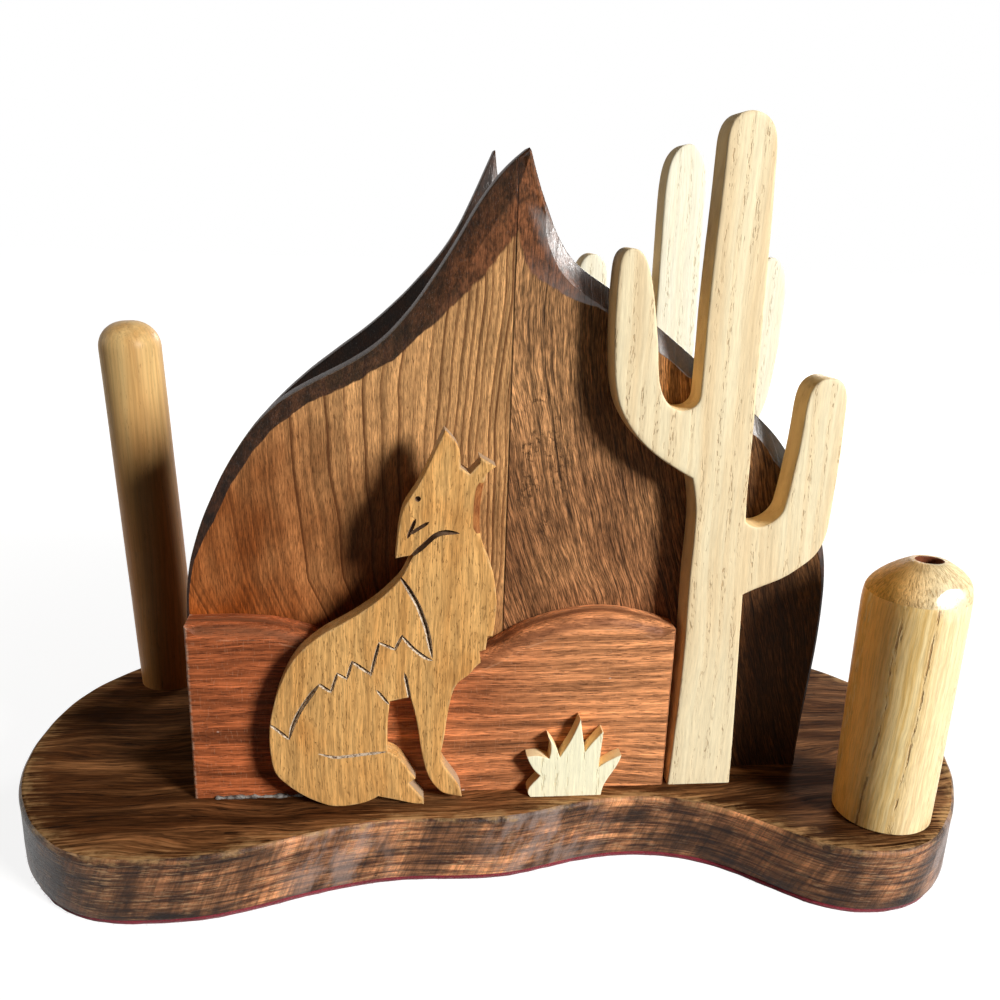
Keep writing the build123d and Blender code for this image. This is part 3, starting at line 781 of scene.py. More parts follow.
def base_edge_finish():
    """The base's sawn edge: stain, saw marks, chips and rubbed high spots, with painted sheen, light and
    shade.
    """
    f = Finish("stained_oak_edge", specular_ior_level=0.2)
    mapped = f.add("ShaderNodeUVMap", uv_map="UVMap").outputs[0]
    along, up, _ = f.add("ShaderNodeSeparateXYZ", (mapped,)).outputs
    flat = f.spot(along, up, 0.0)
    leaned = f.spot(f.total(along, f.times(up, -0.4)), up, 0.0)
    bars = f.cloud(leaned, (11, 30, 1), 4, 0.62, seed=61)
    saw = f.cloud(leaned, (0.8, 10, 1), 3, 0.6, seed=62)
    grain = f.cloud(flat, (24, 1.2, 1), 5, 0.64, seed=63, warp=0.3)
    dash = f.step(f.cloud(flat, (5.0, 0.55, 1), 3, 0.6, seed=67), 0.53, 0.66)
    patch = f.cloud(flat, (30, 11, 1), 4, 0.6, seed=64)
    grit = f.cloud(flat, (0.9, 0.6, 1), 4, 0.7, seed=65)
    colour = f.blend(f.step(grain, 0.38, 0.64), (0.044, 0.016, 0.007), (0.28, 0.122, 0.053))
    colour = f.tone(colour, patch, 0.36, 0.64, 0.28, 1.65)
    colour = f.tone(colour, bars, 0.38, 0.62, 0.45, 1.45)
    colour = f.tone(colour, saw, 0.33, 0.67, 0.66, 1.36)
    # Painted light and shade: the edge is coloured lighter in the middle, which faces the key lamp, and
    # darker towards both ends
    colour = f.shade(colour, f.times(f.step(f.x, -118, -45, 0.42, 1.75), f.step(f.x, 55, 112, 1.0, 0.5)))
    bright = f.times(f.step(bars, 0.36, 0.56), f.step(patch, 0.34, 0.58))
    colour = f.wash(colour, (0.54, 0.32, 0.16), dash, bright, 0.75)
    colour = f.wash(colour, (0.010, 0.006, 0.004), f.step(grit, 0.40, 0.30))
    # Painted sheen: grey patches stand in for the key lamp's reflection on the parts of the edge that face it
    painted_sheen = f.step(f.cloud(leaned, (7, 14, 1), 4, 0.66, seed=68), 0.42, 0.62)
    for middle, reach in painted_sheen_spots:
        near = f.step(f.apart(f.x, middle), reach, 0.3 * reach)
        colour = f.wash(colour, (0.36, 0.27, 0.235), painted_sheen, near, 0.55)
    edge = f.kept("edge")
    rub = f.cloud(flat, (6, 2, 1), 5, 0.68, seed=66)
    worn = f.step(f.total(edge, f.swing(rub, 5)), 1.3, -1.2)
    colour = f.wash(colour, (0.44, 0.265, 0.115), worn, 0.8)
    height = f.relief((saw, 0.6), (bars, 0.8), (grit, 0.8), (grain, 0.6), (dash, 0.4))
    return f.done(colour, f.step(grit, 0.3, 0.7, 0.42, 0.3), height, 0.26)


def maple_finish(name, light, deep):
    """Honey-coloured turned maple, rubbed smooth, with painted shade darkening it lower down."""
    f = Finish(name, specular_ior_level=0.14)
    bend = f.cloud(f.place, (60, 60, 90), 2, seed=71)
    wood = f.spot(f.total(f.x, f.swing(bend, 3)), f.y, f.z)
    band = f.cloud(wood, (3.4, 3.4, 100), 4, seed=72)
    streak = f.cloud(wood, (0.8, 0.8, 26), 4, 0.6, seed=73)
    fleck = f.pores(wood, (0.42, 0.42, 3.0), 0.62, 0.72, 74)
    blotch = f.cloud(f.place, (11, 11, 17), 3, seed=75)
    colour = f.blend(f.step(band, 0.2, 0.8), deep, light)
    colour = f.wash(colour, deep, f.step(blotch, 0.48, 0.72), 0.45)
    # Painted shade: the peg is coloured darker from about 134 mm down to 70 mm, where the panel's shadow
    # falls on it
    painted_shade_low = f.step(f.total(f.z, f.swing(blotch, 14)), 134, 70)
    colour = f.wash(colour, (0.52, 0.20, 0.048), painted_shade_low, 0.75)
    colour = f.tone(colour, streak, 0.25, 0.75, 0.82, 1.15)
    colour = f.wash(colour, (0.18, 0.08, 0.02), fleck, 0.3)
    height = f.relief((streak, 0.5), (fleck, -0.5))
    return f.done(colour, f.step(blotch, 0.3, 0.7, 0.36, 0.48), height, 0.07)


def felt_finish():
    """Red felt: matted fibres in several reds, with a soft sheen."""
    f = Finish("red_felt", specular_ior_level=0.1, sheen_weight=0.5, sheen_roughness=0.5)
    matted = f.cloud(f.place, (0.6, 0.6, 0.6), 5, 0.7, seed=91, warp=1.5)
    fibre = f.cloud(f.place, (0.16, 1.3, 0.3), 3, 0.6, seed=92, warp=2.0)
    patch = f.cloud(f.place, (14, 14, 14), 3, seed=93)
    colour = f.blend(f.step(matted, 0.3, 0.7), (0.17, 0.006, 0.016), (0.42, 0.022, 0.05))
    colour = f.tone(colour, patch, 0.3, 0.7, 0.8, 1.15)
    colour = f.wash(colour, (0.55, 0.07, 0.10), f.step(fibre, 0.6, 0.8), 0.5)
    return f.done(colour, f.step(matted, 0.2, 0.8, 0.98, 0.88), f.total(matted, fibre), 0.3)


def steel_finish():
    """Zinc-plated screw steel, turned and a little dull."""
    f = Finish("zinc_screw", metallic=1.0)
    turned = f.cloud(f.place, (3, 3, 0.08), 4, seed=95)
    dull = f.cloud(f.place, (1.5, 1.5, 1.5), 4, seed=96)
    colour = f.blend(f.step(dull, 0.3, 0.7), (0.42, 0.41, 0.37), (0.66, 0.65, 0.6))
    return f.done(colour, f.step(dull, 0.3, 0.7, 0.5, 0.3), turned, 0.02)


def glue_finish():
    """Dried wood glue, yellowed and dusty."""
    f = Finish("dried_glue", specular_ior_level=0.5)
    skin = f.cloud(f.place, (1.6, 1.6, 1.6), 4, seed=97)
    dust = f.cloud(f.place, (0.4, 0.4, 0.4), 4, 0.7, seed=98)
    colour = f.blend(f.step(skin, 0.35, 0.65), (0.045, 0.034, 0.028), (0.27, 0.25, 0.225))
    colour = f.tone(colour, dust, 0.3, 0.7, 0.8, 1.2)
    return f.done(colour, f.step(dust, 0.3, 0.7, 0.3, 0.5), f.total(skin, dust), 0.2)


# Mountain panels

def panel_outline(left_node, right_node, middle, glue):
    """A panel's outline from its two boards, anticlockwise from the left end of its foot."""
    sides = []
    for node, outer in ((left_node, -1), (right_node, 1)):
        loop = sawn_loop(node, 1, middle, (0, 2))
        start = np.argmin(loop[:, 1] - 1e-3 * outer * loop[:, 0])
        loop = np.roll(loop, -start, 0)
        if loop[1, 1] < loop[0, 1] + 1e-3:
            loop = np.roll(loop[::-1], 1, 0)
        end = np.flatnonzero(np.abs(loop[:, 0] - glue) < 1e-3)[0]
        sides.append(loop[:end + 1])
    left, right = sides
    return np.concatenate([left[:1], right, left[-2:0:-1]])


# Widths of the stain and of the chamfer at heights up a slope, as (heights, widths)
left_stain = ((80, 90, 102, 120, 140, 157, 175, 188, 203), (0.8, 1.2, 3.0, 3.9, 4.3, 6.0, 10.4, 16.5, 20))
right_stain = ((80, 95, 110, 150, 166, 174, 180, 188, 203), (0.8, 2.5, 4.2, 4.8, 6.0, 10, 12.5, 15, 18))
left_chamfer, right_chamfer = 5.6, 5.2
fading_chamfer = ((162, 170, 178, 185, 203), (5.2, 5.0, 3.4, 1.0, 0.6))
half_seam = 0.03


def build_panel(name, seed, boards, glue, finishes, both):
    """One mountain panel as two boards, hand-chamfered and stained along its slopes, on
    both faces or on the front alone."""
    low, high = span(boards[0])
    front, back = low[1], high[1]
    loop = even_loop(panel_outline(*boards, (front + back) / 2, glue), 1.0)
    loop = hand_cut(loop, 0.2, 9, seed, deck)
    x, z = loop.T
    rough = sway(loop, 5, seed + 7) - 0.5
    stained = np.where(x < glue, np.interp(z, *left_stain), np.interp(z, *right_stain))
    stained = stained + eased(z, 90, 105) * 0.9 * rough
    right_cut = right_chamfer if both else np.interp(z, *fading_chamfer)
    wide = np.minimum(stained, np.where(x < 0, left_chamfer, right_cut) + 0.4 * rough)
    skin = Skin()

    def chamfered(y, way):
        """The rings of one chamfered face, from the rim inwards."""
        deep = y + way * (0.5 * wide)
        return [skin.upright(loop, deep + way * 0.45, -0.5),
                skin.upright(loop, deep, 0.0, 0.1),
                skin.upright(loop, deep - way * 0.2, 0.25, 0.45),
                skin.upright(loop, y, wide / stained, wide),
                skin.upright(loop, y, 1.7, 1.7 * stained)]

    if both:
        rings = chamfered(back, -1)[::-1]
    else:
        rings = [skin.upright(loop, back, 0.3, 0.5), skin.upright(loop, back - 0.5, -0.5)]
    skin.stack(rings + chamfered(front, 1))
    bmesh.ops.recalc_face_normals(skin.mesh, faces=skin.mesh.faces)
    for word, gap, node, finish in zip(("left", "right"), (-half_seam, half_seam), boards, finishes):
        half = skin.mesh.copy()
        cut = bmesh.ops.bisect_plane(
            half, geom=[*half.verts, *half.edges, *half.faces], plane_co=((glue + gap) * mm, 0, 0),
            plane_no=(1, 0, 0), clear_inner=word == "right", clear_outer=word == "left")
        rim = [edge for edge in cut["geom_cut"] if isinstance(edge, bmesh.types.BMEdge)]
        for face in bmesh.ops.edgeloop_fill(half, edges=rim)["faces"]:
            face.smooth = False
        bmesh.ops.recalc_face_normals(half, faces=half.faces)
        piece = made_from(f"{name}_{word}", half, (finish,), 14)
        stands_for(piece, "holder", "panel_cherry", node)
    skin.mesh.free()


# Cut-outs

cutout_sharp = 34


def build_cutout(name, node, finish, slot, arris, seed, back_arris=0.3, step=0.8, rim=1.1, shave=None):
    """A flat cut-out standing on the deck, its front edges eased by hand. shave gives how
    much wider a knife made them."""
    low, high = span(node)
    front, back = low[1], high[1]
    loop = traced(node, 1, (front + back) / 2, step, 0.12, 6, seed)
    shaved = shave(loop) if shave else np.zeros(len(loop))
    wide = arris * (0.7 + 0.6 * sway(loop, 8, seed + 3)) + shaved
    deep = np.minimum(wide, arris + 0.55 * shaved)
    knifed = np.where(shaved > 0.5, 2.0, 0.0)
    skin = Skin()
    rings = [skin.upright(loop, back, 0.6, back_arris), skin.upright(loop, back - back_arris)]
    for share, across, down in quarter_round(0.0, 0.3, 0.62, 1.0):
        edge = np.maximum(knifed, 0.15 + 0.25 * share)
        rings.append(skin.upright(loop, front + deep * down, edge, wide * across))
    rings.append(skin.upright(loop, front, 1.2, wide + rim))
    skin.stack(rings)
    return stands_for(skin.piece(name, finish, sharp=cutout_sharp), "holder", slot, node)


def carving_tool(name, mesh, finishes):
    """A cutter that leaves the second finish where it has cut."""
    for face in mesh.faces:
        face.material_index = 1
    return made_from(name, mesh, finishes)


def stroke(points, wide, deep, step=0.9):
    """A knife stroke: points along its line, each with half its width and its depth,
    thin at both ends."""
    line = even_run(np.array(points, float), step, passes=3)
    share = np.linspace(0, 1, len(line))
    swell = np.clip(np.minimum(share, 1 - share) * 5, 0, 1) ** 0.6 * 0.88 + 0.12
    return line, wide * swell, deep * swell


def build_knife(strokes, front, finishes):
    """The wedge-shaped strokes that carve the coyote, as one cutter."""
    cutter = bmesh.new()
    above = 0.5
    for line, wide, deep in strokes:
        ahead = np.gradient(line, axis=0)
        ahead /= np.linalg.norm(ahead, axis=1)[:, None]
        side = np.stack([-ahead[:, 1], ahead[:, 0]], 1)
        rows = []
        for p, s, w, d in zip(line, side, wide, deep):
            reach = w * (1 + above / d)
            a, b = p + s * reach, p - s * reach
            corners = ((a[0], front - above, a[1]), (b[0], front - above, b[1]), (p[0], front + d, p[1]))
            rows.append([cutter.verts.new(Vector(corner) * mm) for corner in corners])
        for low, high in zip(rows, rows[1:]):
            for i in range(3):
                j = (i + 1) % 3
                cutter.faces.new((low[i], low[j], high[j], high[i]))
        cutter.faces.new(rows[0][::-1])
        cutter.faces.new(rows[-1])
    bmesh.ops.recalc_face_normals(cutter, faces=cutter.faces)
    return carving_tool("knife_strokes", cutter, finishes)


# Knife lines on the coyote: points in shares of its width and height, then half a width
# and a depth, which are scaled to the blade
coyote_lines = [
    ([(0.000, 0.245), (0.050, 0.222), (0.090, 0.199)], 0.55, 0.7),
    ([(0.088, 0.199), (0.103, 0.235), (0.136, 0.277), (0.176, 0.313), (0.228, 0.353)], 0.75, 1.2),
    ([(0.222, 0.354), (0.280, 0.329)], 0.55, 0.8),
    ([(0.275, 0.327), (0.307, 0.383)], 0.5, 0.8),
    ([(0.302, 0.382), (0.350, 0.365)], 0.45, 0.7),
    ([(0.345, 0.362), (0.373, 0.416)], 0.5, 0.8),
    ([(0.368, 0.414), (0.457, 0.375)], 0.6, 0.8),
    ([(0.450, 0.372), (0.490, 0.466)], 0.55, 0.9),
    ([(0.485, 0.464), (0.562, 0.443)], 0.5, 0.7),
    ([(0.555, 0.441), (0.592, 0.484)], 0.5, 0.8),
    ([(0.584, 0.483), (0.632, 0.448), (0.689, 0.420), (0.724, 0.412)], 0.65, 0.9),
    ([(0.722, 0.418), (0.697, 0.496), (0.657, 0.562), (0.613, 0.607), (0.575, 0.640)], 0.85, 1.3),
    ([(0.215, 0.157), (0.289, 0.144), (0.400, 0.151), (0.522, 0.158)], 0.55, 0.75),
    ([(0.600, 0.380), (0.626, 0.300)], 0.6, 1.0),
    ([(0.476, 0.334), (0.532, 0.292)], 0.5, 0.8),
    ([(0.645, 0.784), (0.609, 0.734)], 0.6, 0.8),
    ([(0.614, 0.743), (0.702, 0.776)], 0.6, 0.8),
    ([(0.616, 0.684), (0.684, 0.718), (0.726, 0.743), (0.768, 0.751), (0.830, 0.747)], 0.85, 1.3),
]


blade_width, blade_depth = 0.84, 1.6
eye_spot = (0.653, 0.833)


def carve_coyote(coyote, finishes):
    """The knife lines and the eye, cut into the coyote's face."""
    low, high = span("coyote")
    size = high - low

    def place(across, up):
        """A spot on the coyote from shares of its width and height."""
        return low[0] + across * size[0], low[2] + up * size[2]

    strokes = [stroke([place(*point) for point in line], blade_width * wide, blade_depth * deep)
               for line, wide, deep in coyote_lines]
    knife = build_knife(strokes, low[1], finishes)
    drill = bmesh.new()
    x, z = place(*eye_spot)
    turn = Matrix.Translation(Vector((x, low[1], z)) * mm) @ Matrix.Rotation(math.pi / 2, 4, "X")
    bmesh.ops.create_cone(drill, cap_ends=True, segments=20, radius1=0.55 * mm, radius2=1.0 * mm,
                          depth=2.4 * mm, matrix=turn)
    eye = carving_tool("eye_drill", drill, finishes)
    coyote.data.materials.append(finishes[1])
    for tool in (knife, eye):
        cut = coyote.modifiers.new("carve", "BOOLEAN")
        cut.object, cut.operation, cut.solver, cut.use_self = tool, "DIFFERENCE", "EXACT", True
    settled(coyote)
    coyote.data.set_sharp_from_angle(angle=math.radians(cutout_sharp))
    edge = coyote.data.attributes["edge"].data
    for vert in coyote.data.vertices:
        if vert.co.y < (low[1] + 3) * mm and edge[vert.index].value < 0.1:
            edge[vert.index].value = 1.2
    for tool in (knife, eye):
        bpy.data.objects.remove(tool)


# Turned pieces

def build_turned(name, profile, spot, shape, segments, finishes, marks=None, lean=0.0):
    """A turned piece from its half section of (radius, height). shape gives the radius at
    an angle and height, and marks gives each strip's finish."""
    skin = Skin()
    turn = Matrix.Rotation(math.radians(-lean), 3, "Y")
    foot = Vector((*spot, deck))
    rings = []
    for radius, height in profile:
        points = []
        for angle in np.arange(segments) * 2 * math.pi / segments:
            r = shape(radius, height, angle)
            local = Vector((r * math.cos(angle), r * math.sin(angle), height - deck))
            points.append(tuple(foot + turn @ local))
        rings.append(skin.ring(points, 1.2))
    skin.stack(rings, marks)
    return skin.piece(name, *finishes, sharp=34)


def divided(points, step):
    """A half section with points about a step apart."""
    done = [points[0]]
    for start, end in zip(points, points[1:]):
        run = even_run(np.array([start, end], float), step, passes=0)
        done += [tuple(p) for p in run[1:]]
    return done


# Geometry Nodes

class Recipe:
    """A Geometry Nodes tree with named sizes."""

    def __init__(self, name, **sizes):
        self.tree = bpy.data.node_groups.new(name, "GeometryNodeTree")
        face = self.tree.interface
        face.new_socket("Geometry", in_out="INPUT", socket_type="NodeSocketGeometry")
        face.new_socket("Geometry", in_out="OUTPUT", socket_type="NodeSocketGeometry")
        self.sizes = {}
        for word, value in sizes.items():
            kind = "NodeSocketInt" if isinstance(value, int) else "NodeSocketFloat"
            socket = face.new_socket(word.replace("_", " ").title(), in_out="INPUT", socket_type=kind)
            self.sizes[socket.identifier] = value
        given = self.tree.nodes.new("NodeGroupInput").outputs
        self.start = given[0]
        self.given = {word: given[i + 1] for i, word in enumerate(sizes)}
        self.end = self.tree.nodes.new("NodeGroupOutput")

    def add(self, kind, feeds=None, **settings):
        """A node with its settings; feeds gives its inputs by name or place."""
        node = self.tree.nodes.new(kind)
        for word, value in settings.items():
            setattr(node, word, value)
        for word, value in (feeds or {}).items():
            for one in value if isinstance(value, list) else [value]:
                if isinstance(one, bpy.types.NodeSocket):
                    self.tree.links.new(one, node.inputs[word])
                else:
                    node.inputs[word].default_value = one
        return node.outputs

    def calc(self, operation, *values):
        """One sum on numbers."""
        return self.add("ShaderNodeMath", dict(enumerate(values)), operation=operation)[0]

    def raised(self, geometry, height):
        """Geometry lifted to a height."""
        lift = self.add("ShaderNodeCombineXYZ", {2: height})[0]
        return self.add("GeometryNodeTransform", {"Geometry": geometry, "Translation": lift})[0]

    def finish(self, geometry, material):
        """Realized, given its material and handed out."""
        real = self.add("GeometryNodeRealizeInstances", {"Geometry": geometry})[0]
        done = self.add("GeometryNodeSetMaterial", {"Geometry": real, "Material": material})[0]
        self.tree.links.new(done, self.end.inputs[0])

    def grow(self, made):
        """The object with this tree worked into a plain mesh."""
        modifier = made.modifiers.new(self.tree.name, "NODES")
        modifier.node_group = self.tree
        for identifier, value in self.sizes.items():
            modifier[identifier] = value
        return settled(made)


def points_object(name, points, edges=()):
    """Points, in millimetres, loose or along a line, for a tree to work on."""
    data = bpy.data.meshes.new(name)
    data.from_pydata([Vector(p) * mm for p in points], edges, [])
    return put_in_scene(name, data)


def screw_recipe(steel):
    """Slotted wood screws standing on points, heads down."""
    r = Recipe("wood_screws", length=0.036, shank=0.0021, core=0.0015, pitch=0.0018, plain=0.012,
               head=0.0041, head_depth=0.0026, slot_width=0.0012, slot_depth=0.0011)
    g = r.given
    threaded = r.calc("SUBTRACT", g["length"], g["plain"])
    tip = r.calc("MULTIPLY", g["pitch"], 2.8)
    core_long = r.calc("SUBTRACT", threaded, tip)
    shank = r.add("GeometryNodeMeshCylinder", {"Vertices": 20, "Radius": g["shank"], "Depth": g["plain"]})[0]
    shank = r.raised(shank, r.calc("MULTIPLY", g["plain"], 0.5))
    core = r.add("GeometryNodeMeshCylinder", {"Vertices": 16, "Radius": g["core"], "Depth": core_long})[0]
    core = r.raised(core, r.calc("MULTIPLY_ADD", core_long, 0.5, g["plain"]))
    point = r.add("GeometryNodeMeshCone", {"Vertices": 16, "Radius Top": 0.0, "Radius Bottom": g["core"],
                                           "Depth": tip})[0]
    point = r.raised(point, r.calc("ADD", g["plain"], core_long))
    turns = r.calc("DIVIDE", core_long, g["pitch"])
    helix = r.add("GeometryNodeCurveSpiral", {"Resolution": 20, "Rotations": turns, "Start Radius": g["core"],
                                              "End Radius": g["core"], "Height": core_long})[0]
    crest = r.calc("SUBTRACT", g["shank"], g["core"])
    ridge = r.add("GeometryNodeCurvePrimitiveCircle", {"Resolution": 4, "Radius": crest})[0]
    thread = r.add("GeometryNodeCurveToMesh", {"Curve": helix, "Profile Curve": ridge, "Fill Caps": True})[0]
    thread = r.raised(thread, g["plain"])
    head = r.add("GeometryNodeMeshCone", {"Vertices": 28, "Radius Top": g["shank"],
                                          "Radius Bottom": g["head"], "Depth": g["head_depth"]})[0]
    size = r.add("ShaderNodeCombineXYZ", {0: r.calc("MULTIPLY", g["head"], 3.0), 1: g["slot_width"],
                                          2: r.calc("MULTIPLY", g["slot_depth"], 2.0)})[0]
    slot = r.add("GeometryNodeMeshCube", {"Size": size})[0]
    head = r.add("GeometryNodeMeshBoolean", {"Mesh 1": head, "Mesh 2": slot}, operation="DIFFERENCE")[0]
    screw = r.add("GeometryNodeJoinGeometry", {"Geometry": [shank, core, point, thread, head]})[0]
    turned = r.add("FunctionNodeRandomValue", {2: 0.0, 3: 3.1, "Seed": 4}, data_type="FLOAT")[1]
    turn = r.add("ShaderNodeCombineXYZ", {2: turned})[0]
    stood = r.add("GeometryNodeInstanceOnPoints", {"Points": r.start, "Instance": screw, "Rotation": turn})[0]
    r.finish(stood, steel)
    return r


def fuzz_recipe(felt):
    """Short bent fibres that stand out of the felt's cut edge."""
    r = Recipe("felt_fuzz", fibre_length=0.0011, fibre_radius=0.00003, density=1.6e6, seed=7)
    g = r.given
    spread = r.add("GeometryNodeDistributePointsOnFaces",
                   {"Mesh": r.start, "Density": g["density"], "Seed": g["seed"]})
    end = r.add("ShaderNodeCombineXYZ", {0: r.calc("MULTIPLY", g["fibre_length"], 0.5),
                                         2: r.calc("MULTIPLY", g["fibre_length"], 0.7)})[0]
    middle = r.add("ShaderNodeCombineXYZ", {2: r.calc("MULTIPLY", g["fibre_length"], 0.6)})[0]
    line = r.add("GeometryNodeCurveQuadraticBezier", {"Resolution": 3, "Start": (0, 0, 0),
                                                      "Middle": middle, "End": end})[0]
    ring = r.add("GeometryNodeCurvePrimitiveCircle", {"Resolution": 3, "Radius": g["fibre_radius"]})[0]
    fibre = r.add("GeometryNodeCurveToMesh", {"Curve": line, "Profile Curve": ring, "Fill Caps": True})[0]
    spin = r.add("FunctionNodeRandomValue", {0: (-1.0, -1.0, -3.1), 1: (1.0, 1.0, 3.1), "Seed": 3},
                 data_type="FLOAT_VECTOR")[0]
    turn = r.add("FunctionNodeRotateRotation", {0: spread["Rotation"], 1: spin}, rotation_space="LOCAL")[0]
    scale = r.add("FunctionNodeRandomValue", {2: 0.4, 3: 1.0, "Seed": 5}, data_type="FLOAT")[1]
    grown = r.add("GeometryNodeInstanceOnPoints", {"Points": spread["Points"], "Instance": fibre,
                                                   "Rotation": turn, "Scale": scale})[0]
    real = r.add("GeometryNodeRealizeInstances", {"Geometry": grown})[0]
    x, y, z = r.add("ShaderNodeSeparateXYZ", {0: r.add("GeometryNodeInputPosition")[0]})
    place = r.add("ShaderNodeCombineXYZ", {0: x, 1: y, 2: r.calc("MAXIMUM", z, g["fibre_radius"])})[0]
    r.finish(r.add("GeometryNodeSetPosition", {"Geometry": real, "Position": place})[0], felt)
    return r


def glue_recipe(glue):
    """A squeezed-out bead that follows a path and swells and thins along it."""
    r = Recipe("glue_bead", radius=0.0008, step=0.0006, swell=420.0)
    g = r.given
    path = r.add("GeometryNodeMeshToCurve", {"Mesh": r.start})[0]
    path = r.add("GeometryNodeResampleCurve", {"Curve": path, "Length": g["step"]}, mode="LENGTH")[0]
    uneven = r.add("ShaderNodeTexNoise", {"Scale": g["swell"], "Detail": 2.0})[0]
    wide = r.add("ShaderNodeMapRange", {0: uneven, 1: 0.35, 2: 0.68, 3: 0.12, 4: 1.4})[0]
    path = r.add("GeometryNodeSetCurveRadius", {"Curve": path, "Radius": wide})[0]
    ring = r.add("GeometryNodeCurvePrimitiveCircle", {"Resolution": 10, "Radius": g["radius"]})[0]
    bead = r.add("GeometryNodeCurveToMesh", {"Curve": path, "Profile Curve": ring, "Scale": wide,
                                             "Fill Caps": True})[0]
    r.finish(bead, glue)
    return r


# The pieces

front_glue_line, rear_glue_line = -3.0, 3.0
peg_spot, cup_spot = (-113.8305, 44.136), (107.60425, -51.192)

oak_top, oak_edge = base_top_finish(), base_edge_finish()
left_cherry = flat_sawn_finish("panel_cherry_left", 1, -1, front_glue_line,
                               (0.50, 0.263, 0.104), (0.215, 0.050, 0.008), (0.075, 0.020, 0.005))
right_cherry = quarter_sawn_finish("panel_cherry_right", 11, 0.30, front_glue_line,
                                   (0.37, 0.186, 0.076), (0.258, 0.112, 0.046), (0.018, 0.007, 0.003))
rear_left_cherry = flat_sawn_finish("panel_cherry_rear_left", 101, -1, rear_glue_line,
                                    (0.34, 0.155, 0.060), (0.25, 0.078, 0.022), (0.07, 0.024, 0.009),
                                    peak_wax=0.5, rust=0.0)
rear_right_cherry = flat_sawn_finish("panel_cherry_rear_right", 121, 1, rear_glue_line,
                                     (0.36, 0.168, 0.066), (0.26, 0.082, 0.024), (0.07, 0.024, 0.009),
                                     peak_wax=0.5, rust=0.0)
mahogany = hill_finish()
tan, tan_cut = tan_finish("coyote_tan", False), tan_finish("coyote_cut", True)
front_ash = ash_finish("saguaro_ash_front", 41, (0.84, 0.73, 0.49), (0.77, 0.60, 0.36), (0.37, 0.22, 0.095))
# Painted light: the rear saguaro is a paler copy of the front one's ash, lighter for how brightly it is lit
rear_ash = ash_finish("saguaro_ash_rear", 141, (0.89, 0.86, 0.70), (0.86, 0.80, 0.61), (0.62, 0.49, 0.28))
pine = ash_finish("agave_pine", 241, (0.96, 0.92, 0.67), (0.95, 0.88, 0.60), (0.80, 0.67, 0.38))
maple = maple_finish("peg_maple", (0.73, 0.49, 0.205), (0.55, 0.30, 0.10))
cup_ash = cup_finish(cup_spot)
rasped = rasped_finish("cup_rasped_cone", cup_spot,
                       (0.84, 0.68, 0.40), (0.84, 0.43, 0.095), (0.36, 0.18, 0.045))
# The bore's walls are coloured a dark red-brown, painted shade that deepens the toothpick hole
bored = rasped_finish("cup_bored_hole", cup_spot,
                      (0.22, 0.065, 0.03), (0.2, 0.06, 0.027), (0.08, 0.02, 0.01))
felt, steel, glue = felt_finish(), steel_finish(), glue_finish()


def build_base():
    """The wavy base board with its worn rim and rough-sawn edge. What its points keep as
    edge is their distance from the rim."""
    bottom = span("base_board")[0][2]
    loop = traced("base_board", 2, (bottom + deck) / 2, 1.0, 0.15, 14, 5)
    around = np.concatenate([[0], np.linalg.norm(np.roll(loop, -1, 0) - loop, axis=1).cumsum()])
    arris = 1.0 + 1.1 * sway(loop, 12, 8)
    skin = Skin()
    rings = [skin.level(loop, bottom, 18.5, 0.5)]
    heights = [bottom]
    for share in (0.03, 0.2, 0.4, 0.6, 0.8):
        z = bottom + share * (deck - bottom)
        rings.append(skin.level(loop, z, deck - z, 0.22 * sway(loop, 7, share * 31)))
        heights.append(z)
    for share, across, down in quarter_round(0.0, 0.35, 0.7, 1.0):
        rings.append(skin.level(loop, deck - arris * down, 1.2 * (1 - share), arris * across))
        heights.append(deck - 1.5 * (1 - share))
    for reach in (3.5, 8.0):
        rings.append(skin.level(loop, deck, reach, arris + reach))
    on_top, on_edge = 0, 1
    skin.cap(rings[0], on_edge)
    for i, (lower, upper) in enumerate(zip(rings, rings[1:])):
        if i < len(heights) - 2:
            skin.band(lower, upper, on_edge, around, heights[i:i + 2])
        else:
            skin.band(lower, upper, on_top)
    skin.cap(rings[-1], on_top)
    stands_for(skin.piece("sawn_base", oak_top, oak_edge, sharp=50), "holder", "stained_oak", "base_board")


def build_felt():
    """The felt glued under the base, with a fuzzy cut edge."""
    low, high = span("felt_pad")
    thick = high[2]
    loop = traced("felt_pad", 2, thick / 2, 1.5, 0.5, 4, 3)
    fuzz_low, fuzz_high = 0.35, 1.1
    skin = Skin()
    skin.stack([skin.level(loop, z, 1.0, reach)
                for reach, z in ((0.4, 0.0), (0.0, fuzz_low), (0.0, fuzz_high), (0.25, thick))])
    sheet = stands_for(skin.piece("felt_sheet", felt, sharp=60), "holder", "felt_red", "felt_pad")
    rim = Skin()
    rim.band(rim.level(loop, fuzz_low), rim.level(loop, fuzz_high))
    fuzz = fuzz_recipe(felt).grow(rim.piece("felt_fuzz"))
    stands_for(fuzz, "holder", "felt_red")


